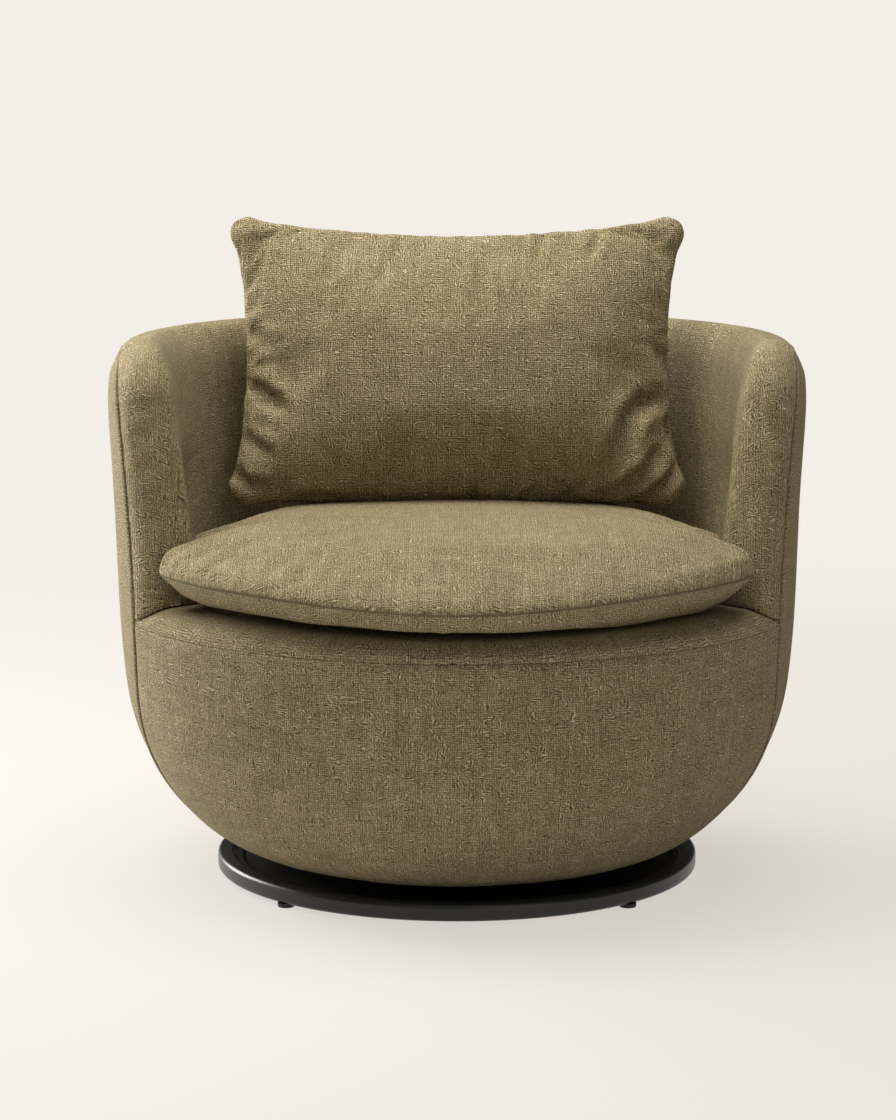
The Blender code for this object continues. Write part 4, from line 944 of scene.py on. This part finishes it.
pillow = {
    "voxel": 0.0055,
    "shrinkFirst": 0.006,
    "shrinkOver": 0.04,
    "pressure": 3.5,
    "stretch": 12.0,
    "bending": 0.6,
    "shrink": -0.03,
    "cap": 0.016,
    "holdFrom": 0.004,
    "holdTo": 0.014,
    "lean": 13,
    "width": 0.560,
    "height": 0.338,
    "middle": 0.150,
    "hollowSides": 0.085,  # the edges pull in between the corners
    "hollowTop": 0.075,
    "uneven": (0.0022, 0.075, 21.0, 0.012, 0.05),
    "seamDip": 0.0012,
    "seamWidth": 0.0035,
    "seamLine": 0.0006,
    "gathers": ((46, 3.0, 8.5), (110, 5.0, 2.5), 0.7),
    "pucker": 0.0014,
    "puckerAt": 0.012,
    "puckerWidth": 0.014,
    "taller": 0.006,  # than the solid, at the top
    "deeper": 0.010,  # at the bottom, into the cushion's hollow
    "longerOver": 0.16,
    "cornerRadius": 0.015,
    "cornerLost": 0.006,  # how far the bounding corner lies beyond the round
    "cornerFull": 0.005,
    "cornerShareUp": 0.8,
    "cornerFullX": (0.028, 0.014),  # how far from the corner, and how wide
    "cornerFullUp": (0.030, 0.014),
    "cornerNear": (0.015, 0.05),
    "cornerPuff": 0.006,
    "cornerPuffWidth": 0.022,
    "cornerPuffFacing": (0.2, 0.7),
    "gap": 0.0004,
    "sheets": (1.9, 2.7),  # front and back
    "foldFacing": (0.25, -0.15),
    "folds": (  # on the front: points as x and z, width, depth, ridge
        ([(-0.250, 0.563), (-0.226, 0.552), (-0.205, 0.540)], 0.0085, 0.0126, 0.0063),
        ([(-0.258, 0.628), (-0.240, 0.620), (-0.222, 0.606)], 0.0090, 0.0070, 0.0035),
        ([(-0.258, 0.506), (-0.242, 0.499), (-0.222, 0.489)], 0.0080, 0.0070, 0.0035),
        ([(-0.272, 0.470), (-0.250, 0.458), (-0.222, 0.452)], 0.0070, 0.0063, 0.0035),
        ([(-0.200, 0.436), (-0.165, 0.440), (-0.130, 0.437)], 0.0070, 0.0049, 0.0028),
        ([(0.250, 0.548), (0.224, 0.549), (0.206, 0.532), (0.195, 0.505), (0.189, 0.478)],
         0.0100, 0.0154, 0.0077),
        ([(0.252, 0.530), (0.266, 0.500), (0.277, 0.468)], 0.0080, 0.0098, 0.0042),
        ([(0.170, 0.438), (0.198, 0.452), (0.226, 0.474), (0.246, 0.500)], 0.0075, 0.0070, 0.0070),
        ([(0.205, 0.432), (0.232, 0.446), (0.258, 0.470)], 0.0065, 0.0063, 0.0042),
        ([(0.240, 0.610), (0.250, 0.590), (0.254, 0.572)], 0.0070, 0.0056, 0.0028),
        ([(0.032, 0.708), (0.031, 0.690), (0.033, 0.668)], 0.0080, 0.0042, 0.0021),
        ([(-0.152, 0.712), (-0.150, 0.700), (-0.153, 0.684)], 0.0090, 0.0039, 0.0020),
        ([(0.104, 0.736), (0.100, 0.722), (0.096, 0.706)], 0.0060, 0.0049, 0.0025),
        ([(0.174, 0.742), (0.168, 0.728), (0.160, 0.712)], 0.0060, 0.0049, 0.0025),
        ([(0.012, 0.434), (0.018, 0.446), (0.022, 0.464)], 0.0060, 0.0045, 0.0025),
        ([(0.046, 0.434), (0.058, 0.450), (0.066, 0.466)], 0.0060, 0.0050, 0.0028),
        ([(0.070, 0.430), (0.086, 0.444), (0.100, 0.456)], 0.0060, 0.0056, 0.0031),
        ([(0.118, 0.430), (0.136, 0.444), (0.150, 0.462)], 0.0060, 0.0050, 0.0028),
    ),
}


def pillowAxes():
    # the pillow's middle, and the way up along it
    lean = math.radians(pillow["lean"])
    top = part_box("back_pillow")[1].z
    middle = np.array((0, pillow["middle"], top - pillow["height"] / 2 * math.cos(lean)))
    return middle, np.array((0, math.sin(lean), math.cos(lean)))


def pillowRim():
    # the line where the two faces meet
    middle, upAxis = pillowAxes()
    line = []
    for u, v in ([(t, 1) for t in np.linspace(-1, 1, 25)] + [(1, t) for t in np.linspace(1, -1, 25)]
                 + [(t, -1) for t in np.linspace(1, -1, 25)] + [(-1, t) for t in np.linspace(-1, 1, 25)]):
        x = u * pillow["width"] / 2 * (1 - pillow["hollowSides"] * (1 - v * v))
        along = pillow["height"] * (v / 2 - pillow["hollowTop"] * (1 - u * u) * (1 + v) / 2)
        line.append(middle + along * upAxis + (x, 0, 0))
    return line


def fillCorners(where, facing):
    # the corners are blunt and full; along is how high a point is on the pillow, from its middle
    middle, upAxis = pillowAxes()
    along = (where - middle) @ upAxis
    halfWidth, halfHeight = pillow["width"] / 2, pillow["height"] / 2
    rounding, full, near = pillow["cornerRadius"], pillow["cornerFull"], pillow["cornerNear"]
    inX = halfWidth - np.abs(where[:, 0])
    inUp = halfHeight - np.abs(along)
    fullX = bump(inUp, *pillow["cornerFullX"]) * (1 - smooth(*near, inX))
    fullUp = bump(inX, *pillow["cornerFullUp"]) * (1 - smooth(*near, inUp))
    where[:, 0] += np.sign(where[:, 0]) * full * fullX
    along += np.sign(along) * full * pillow["cornerShareUp"] * fullUp
    longer = np.where(along > 0, pillow["taller"], pillow["deeper"])
    along += np.sign(along) * longer * smooth(0, pillow["longerOver"], np.abs(along))
    apartX = np.abs(where[:, 0]) - (halfWidth - pillow["cornerLost"] - rounding)
    apartUp = np.abs(along) - (halfHeight - pillow["cornerLost"] - rounding + longer)
    apart = np.hypot(apartX, apartUp)
    corner = (apartX > 0) & (apartUp > 0) & (apart > rounding)
    scale = np.where(corner, rounding / np.maximum(apart, 1e-9), 1)
    where[:, 0] += np.sign(where[:, 0]) * apartX * (scale - 1)
    along += np.sign(along) * apartUp * (scale - 1)
    where += upAxis * (along - (where - middle) @ upAxis)[:, None]
    puff = pillow["cornerPuff"] * bump(apart, 0, pillow["cornerPuffWidth"])
    facesOut = smooth(*pillow["cornerPuffFacing"], np.abs(facing[:, 1]))
    where[:, 1] += np.sign(facing[:, 1]) * facesOut * puff
    where[:, 2] = np.minimum(where[:, 2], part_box("back_pillow")[1].z + pillow["taller"])


def restOn(piece, under, gap):
    # lifts whatever has sunk into the piece below
    tree = treeOf(bpy.data.objects[under])
    where = places(piece)
    for i, point in enumerate(where):
        hit = tree.ray_cast(Vector((point[0], point[1], 0.6)), Vector((0, 0, -1)))
        if hit[0] is not None and point[2] < hit[0].z + gap:
            where[i, 2] = hit[0].z + gap
    moveTo(piece, where)


def makePillow():
    piece = paddedCopy("back_pillow", "back_pillow_cover", 2, tight=False)
    piece.data.remesh_voxel_size = pillow["voxel"]
    selectOnly(piece)
    bpy.ops.object.voxel_remesh()
    keepLargest(piece)
    rim = pillowRim()
    where, facing = shape(piece)
    far = distanceToLine(where, rim)[0]
    shrunk = pillow["shrinkFirst"] * smooth(0.0, pillow["shrinkOver"], far)
    moveTo(piece, where - facing * shrunk[:, None])
    plump(piece, pillow, 1 - smooth(pillow["holdFrom"], pillow["holdTo"], far))
    applied(piece, "SUBSURF", levels=1, render_levels=1)
    where, facing = shape(piece)
    far, along, side = distanceToLine(where, rim)
    onFront = smooth(*pillow["foldFacing"], facing[:, 1])
    lift = creases(where[:, (0, 2)], pillow["folds"], onFront)
    lift += (pillow["pucker"] * gathers(along, *pillow["gathers"])
             * bump(far, pillow["puckerAt"], pillow["puckerWidth"]))
    lift -= pillow["seamDip"] * bump(far, 0, pillow["seamWidth"])
    lift += unevenness(where, far, *pillow["uneven"])
    where = where + facing * lift[:, None]
    fillCorners(where, facing)
    moveTo(piece, where)
    restOn(piece, "seat_cushion_cover", pillow["gap"])
    where, facing = shape(piece)
    note(piece, "seam", far + pillow["seamLine"])
    noteCloth(piece, where[:, 0], where @ pillowAxes()[1],
              np.where(facing[:, 1] < 0, pillow["sheets"][0], pillow["sheets"][1]))
    bpy.ops.object.shade_smooth()
    dress(piece, "pillow", "upholstery", "back_pillow")


for name, make in (("outer cover", makeOuterCover), ("front cover", makeFrontCover),
                   ("inner cover", makeInnerCover), ("deck", makeDeck), ("seat cushion", makeSeat),
                   ("back pillow", makePillow)):
    make()
    print(name, "made")


# hand-sewn stitches along the arm seams
stitch = {
    "pitch": 0.0052,
    "length": 0.0036,
    "width": 0.0009,
    "height": 0.0006,
    "rounding": 0.00028,
    "lift": 0.0001,
    "sway": 0.45,
    "lowest": 0.040,
    "highest": 0.617,
    "step": 0.003,  # between the heights at which the seam is looked for
    "turns": (60, 95),  # it lies between these, from the front
}


def seamLine(side):
    # where rays towards the tub's axis cross from the outer cover to the front one, from the hem upwards
    outside = treeOf(bpy.data.objects["outer_cover"])
    inside = [treeOf(bpy.data.objects[name]) for name in ("front_cover", "inner_cover")]

    def hitAt(tree, turn, height):
        ray = Vector((side * math.sin(turn), -math.cos(turn), 0))
        start = ray * 0.6 + Vector((0, 0, height))
        spot, facing, index, reach = tree.ray_cast(start, -ray)
        return (reach, spot, facing) if spot else (9.0, None, None)

    rows = []
    for height in np.arange(stitch["lowest"], stitch["highest"], stitch["step"]):
        low, high = [math.radians(turn) for turn in stitch["turns"]]
        for halving in range(16):
            middle = (low + high) / 2
            if hitAt(outside, middle, height)[0] < min(hitAt(tree, middle, height)[0] for tree in inside):
                high = middle
            else:
                low = middle
        reach, spot, facing = hitAt(outside, high + 0.001, height)
        if spot and reach < 0.3:
            rows.append((spot, facing))
    return np.array([row[0] for row in rows]), np.array([row[1] for row in rows])


def makeStitches():
    one = added(bpy.ops.mesh.primitive_cube_add, "seam_stitches", size=1)
    edit()
    bpy.ops.transform.resize(value=(stitch["length"], stitch["width"], stitch["height"]))
    bpy.ops.mesh.bevel(offset=stitch["rounding"], segments=2)
    bpy.ops.object.mode_set(mode="OBJECT")
    copies = []
    for side in (-1, 1):
        line, facings = seamLine(side)
        lengths = runLengths(line)

        def between(values, reach):
            return Vector([np.interp(reach, lengths, values[:, k]) for k in range(3)])

        for reach in np.arange(0.004, lengths[-1] - 0.002, stitch["pitch"]):
            run = (between(line, reach + 0.004) - between(line, reach - 0.004)).normalized()
            facing = between(facings, reach)
            facing = (facing - facing.dot(run) * run).normalized()
            sway = noise.noise(Vector((reach * 310, side * 5.0, 2.0)))
            across = (run.cross(facing) + run * stitch["sway"] * sway).normalized()
            turn = Matrix((across, facing.cross(across), facing)).transposed().to_4x4()
            copy = one.copy()
            copy.data = one.data.copy()
            scene.collection.objects.link(copy)
            copy.data.transform(Matrix.Translation(between(line, reach) + facing * stitch["lift"]) @ turn)
            copies.append(copy)
    bpy.ops.object.select_all(action="DESELECT")
    for copy in copies:
        copy.select_set(True)
    bpy.data.objects.remove(one)
    bpy.context.view_layer.objects.active = copies[0]
    bpy.ops.object.join()
    piece = bpy.context.object
    piece.name = piece.data.name = "seam_stitches"
    edit()
    turnOutwards()
    bpy.ops.object.shade_smooth()
    dress(piece, "tub", "upholstery")
    piece.data.materials[0] = makeThread("sewing_thread")
    print("stitches made:", len(copies))


makeStitches()


# base ring and pan, turned finely
ring = {"radius": 0.284, "width": 0.019, "bottom": 0.005, "top": 0.0255, "rounding": 0.0052}
pan = {
    "line": ((0.2647, 0.0195), (0.2557, 0.0195), (0.2517, 0.0160), (0.1080, 0.0160), (0.1040, 0.0185),
             (0.0078, 0.0185)),
    "thickness": 0.003,
    "bend": 0.0012,
}


def spun(piece, steps=192):
    # turns the section round the axis, out of edit mode
    bpy.ops.mesh.select_all(action="SELECT")
    bpy.ops.mesh.spin(steps=steps, angle=2 * math.pi, center=(0, 0, 0), axis=(0, 0, 1))
    bpy.ops.mesh.select_all(action="SELECT")
    bpy.ops.mesh.remove_doubles(threshold=0.00002)
    turnOutwards()
    selectOnly(piece)
    bpy.ops.object.shade_smooth_by_angle(angle=math.radians(35))


def makeRing():
    piece = added(bpy.ops.mesh.primitive_plane_add, "ring_base", size=1)
    edit()
    bpy.ops.transform.resize(value=(ring["width"], ring["top"] - ring["bottom"], 1))
    bpy.ops.object.mode_set(mode="OBJECT")
    # stand the section up, at its place on the right
    upright = Matrix.Translation((ring["radius"] - ring["width"] / 2, 0, (ring["top"] + ring["bottom"]) / 2))
    piece.data.transform(upright @ Matrix.Rotation(math.pi / 2, 4, "X"))
    edit()
    bpy.ops.mesh.bevel(offset=ring["rounding"], segments=8, affect="VERTICES")
    bpy.ops.mesh.select_all(action="SELECT")
    bpy.ops.mesh.delete(type="ONLY_FACE")
    spun(piece)
    dress(piece, "base", "base_metal", "base_ring")


def makePan():
    piece = added(bpy.ops.mesh.primitive_plane_add, "pan_base", size=0.002)
    edit()
    bpy.ops.mesh.merge(type="CENTER")
    start = pan["line"][0]
    bpy.ops.transform.translate(value=(start[0], 0, start[1]))
    for before, after in zip(pan["line"], pan["line"][1:]):
        step = (after[0] - before[0], 0, after[1] - before[1])
        bpy.ops.mesh.extrude_region_move(TRANSFORM_OT_translate={"value": step})
    spun(piece)
    edit()
    bpy.ops.mesh.flip_normals()
    bpy.ops.object.mode_set(mode="OBJECT")
    upward = sum(face.normal.z * face.area for face in piece.data.polygons) > 0
    applied(piece, "SOLIDIFY", thickness=pan["thickness"], offset=-1.0 if upward else 1.0)
    applied(piece, "BEVEL", width=pan["bend"], segments=3, limit_method="ANGLE", angle_limit=math.radians(20))
    edit()
    turnOutwards()
    bpy.ops.object.shade_smooth_by_angle(angle=math.radians(35))
    dress(piece, "base", "base_metal", "base_pan")
    # a darker black than the ring: painted shade for the pan's recess under the tub
    piece.data.materials[0] = makeSatinBlack("pan_black_painted_shade", (17, 17, 18), 0.5)


makeRing()
makePan()
print("base made")


# lining under the board
lining = {
    "inside": 0.102,
    "outside": 0.203,
    "height": 0.0299,
    "thickness": 0.0008,
    "sag": 0.0012,
    "steps": 128,
    "rings": 8,
}


def makeLiningSheet():
    piece = added(bpy.ops.mesh.primitive_circle_add, "dust_lining", (0, 0, lining["height"]),
                  vertices=lining["steps"], radius=lining["outside"], fill_type="NGON")
    bpy.ops.object.transform_apply(location=True)
    edit()
    wide = lining["outside"] - lining["inside"]
    for number in range(lining["rings"]):
        bpy.ops.mesh.inset(thickness=wide / lining["rings"])
    bpy.ops.mesh.delete(type="FACE")
    turnOutwards()
    where = places(piece)
    turn = np.arctan2(where[:, 1], where[:, 0])
    share = np.clip((radiusOf(where) - lining["inside"]) / wide, 0, 1)
    slack = np.sin(math.pi * share) * (1 + 0.3 * np.sin(9 * turn) + 0.2 * np.sin(23 * turn + 1))
    where[:, 2] -= lining["sag"] * slack
    moveTo(piece, where)
    applied(piece, "SOLIDIFY", thickness=lining["thickness"], offset=0.0)
    bpy.ops.object.shade_smooth_by_angle(angle=math.radians(40))
    dress(piece, "tub", "dust_cloth", "dust_cover")


makeLiningSheet()
print("lining made")


# floor, lamps and camera
studio = {
    "floorLeft": (246, 241, 235),
    "floorRight": (236, 230, 220),
    "floorLit": (226, 223, 218),
    "wall": (243, 238, 231),
    "sky": (246, 243, 240),
    "keep": 0.28,  # how much of the real light and shadow the floor shows near the chair
    "ambient": 0.07,
    "focal": 3412,  # in pixels of the frame's height
    "frameHeight": 1120,
    "sensor": 36,
    "camera": (-0.0022, -3.9684, 0.9860),
    "down": 8.844,
    "left": 0.121,
    "lamps": (  # name, place, what it faces, size, watts, colour
        ("key", (-0.95, -0.25, 1.90), (0.0, -0.05, 0.45), (1.0, 1.0), 17, (255, 250, 242)),
        ("top", (0.10, -0.10, 2.60), (0.0, -0.05, 0.40), (1.6, 1.6), 43, (255, 252, 247)),
        ("topBack", (0.0, 1.50, 2.30), (0.0, 0.0, 0.40), (1.6, 1.6), 12, (255, 252, 247)),
        ("over", (0.0, -3.4, 2.8), (0.0, 0.0, 0.2), (3.2, 0.4), 12, (255, 252, 248)),
        ("front", (2.1, -3.6, 1.2), (0.0, -0.1, 0.35), (2.4, 2.4), 15, (255, 250, 244)),
        ("edge", (-2.6, 1.7, 1.1), (-0.2, 0.0, 0.35), (1.8, 1.8), 115, (255, 251, 244)),
        ("side", (-3.2, 0.1, 0.9), (-0.2, 0.0, 0.35), (1.6, 1.6), 8, (255, 251, 244)),
    ),
}


def makeFloor():
    floor = added(bpy.ops.mesh.primitive_plane_add, "floor", size=30)
    bench = Bench("pale_floor")
    x, y, z = bench.parts(bench.place())
    far = ((x ** 2 + y ** 2) ** 0.5).ramp(0.5, 2.6)
    # near the chair the glow the camera sees is painted darker towards the right, a painted shade for the
    # side where the chair's shadow falls; further out it turns into the wall's colour
    plain = bench.mix(x.ramp(-0.9, 0.9), tone(*studio["floorLeft"]), tone(*studio["floorRight"]))
    glow = bench.node("ShaderNodeEmission", None, {"Color": bench.mix(far, plain, tone(*studio["wall"]))})
    rays = bench.node("ShaderNodeLightPath")
    seen = rays["Is Camera Ray"].most(rays["Is Glossy Ray"]).most(rays["Is Transmission Ray"])
    bench.finish({"Base Color": tone(*studio["floorLit"]), "Roughness": 0.9, "Specular IOR Level": 0.2})
    bench.show(seen * (1 - (1 - far) * studio["keep"]), glow, "Material Output")
    floor.data.materials.append(bench.owner)


def makeStudio():
    makeFloor()
    sky = Bench("studio", bpy.data.worlds.new("studio"), "Background")
    scene.world = sky.owner
    sky.finish({"Color": tone(*studio["sky"]), "Strength": studio["ambient"]})
    shown = sky.node("ShaderNodeBackground", None, {"Color": tone(*studio["wall"])})
    rays = sky.node("ShaderNodeLightPath")
    sky.show(rays["Is Camera Ray"].most(rays["Is Transmission Ray"]), shown, "World Output")

    for name, place, aim, size, power, colour in studio["lamps"]:
        data = bpy.data.lights.new(name, "AREA")
        data.shape = "RECTANGLE"
        data.size, data.size_y = size
        data.energy = power
        data.color = tone(*colour)[:3]
        lamp = bpy.data.objects.new(name, data)
        lamp.visible_camera = False
        lamp.location = place
        lamp.rotation_euler = (Vector(place) - Vector(aim)).to_track_quat("Z", "Y").to_euler()
        scene.collection.objects.link(lamp)

    lens = bpy.data.cameras.new("camera")
    lens.sensor_fit = "VERTICAL"
    lens.sensor_height = studio["sensor"]
    lens.lens = studio["focal"] / studio["frameHeight"] * studio["sensor"]
    lens.clip_end = 50
    camera = bpy.data.objects.new("camera", lens)
    camera.location = studio["camera"]
    camera.rotation_euler = (math.radians(90 - studio["down"]), 0, math.radians(studio["left"]))
    scene.collection.objects.link(camera)
    scene.camera = camera
    scene.view_settings.view_transform = "Standard"


makeStudio()
print("studio made")
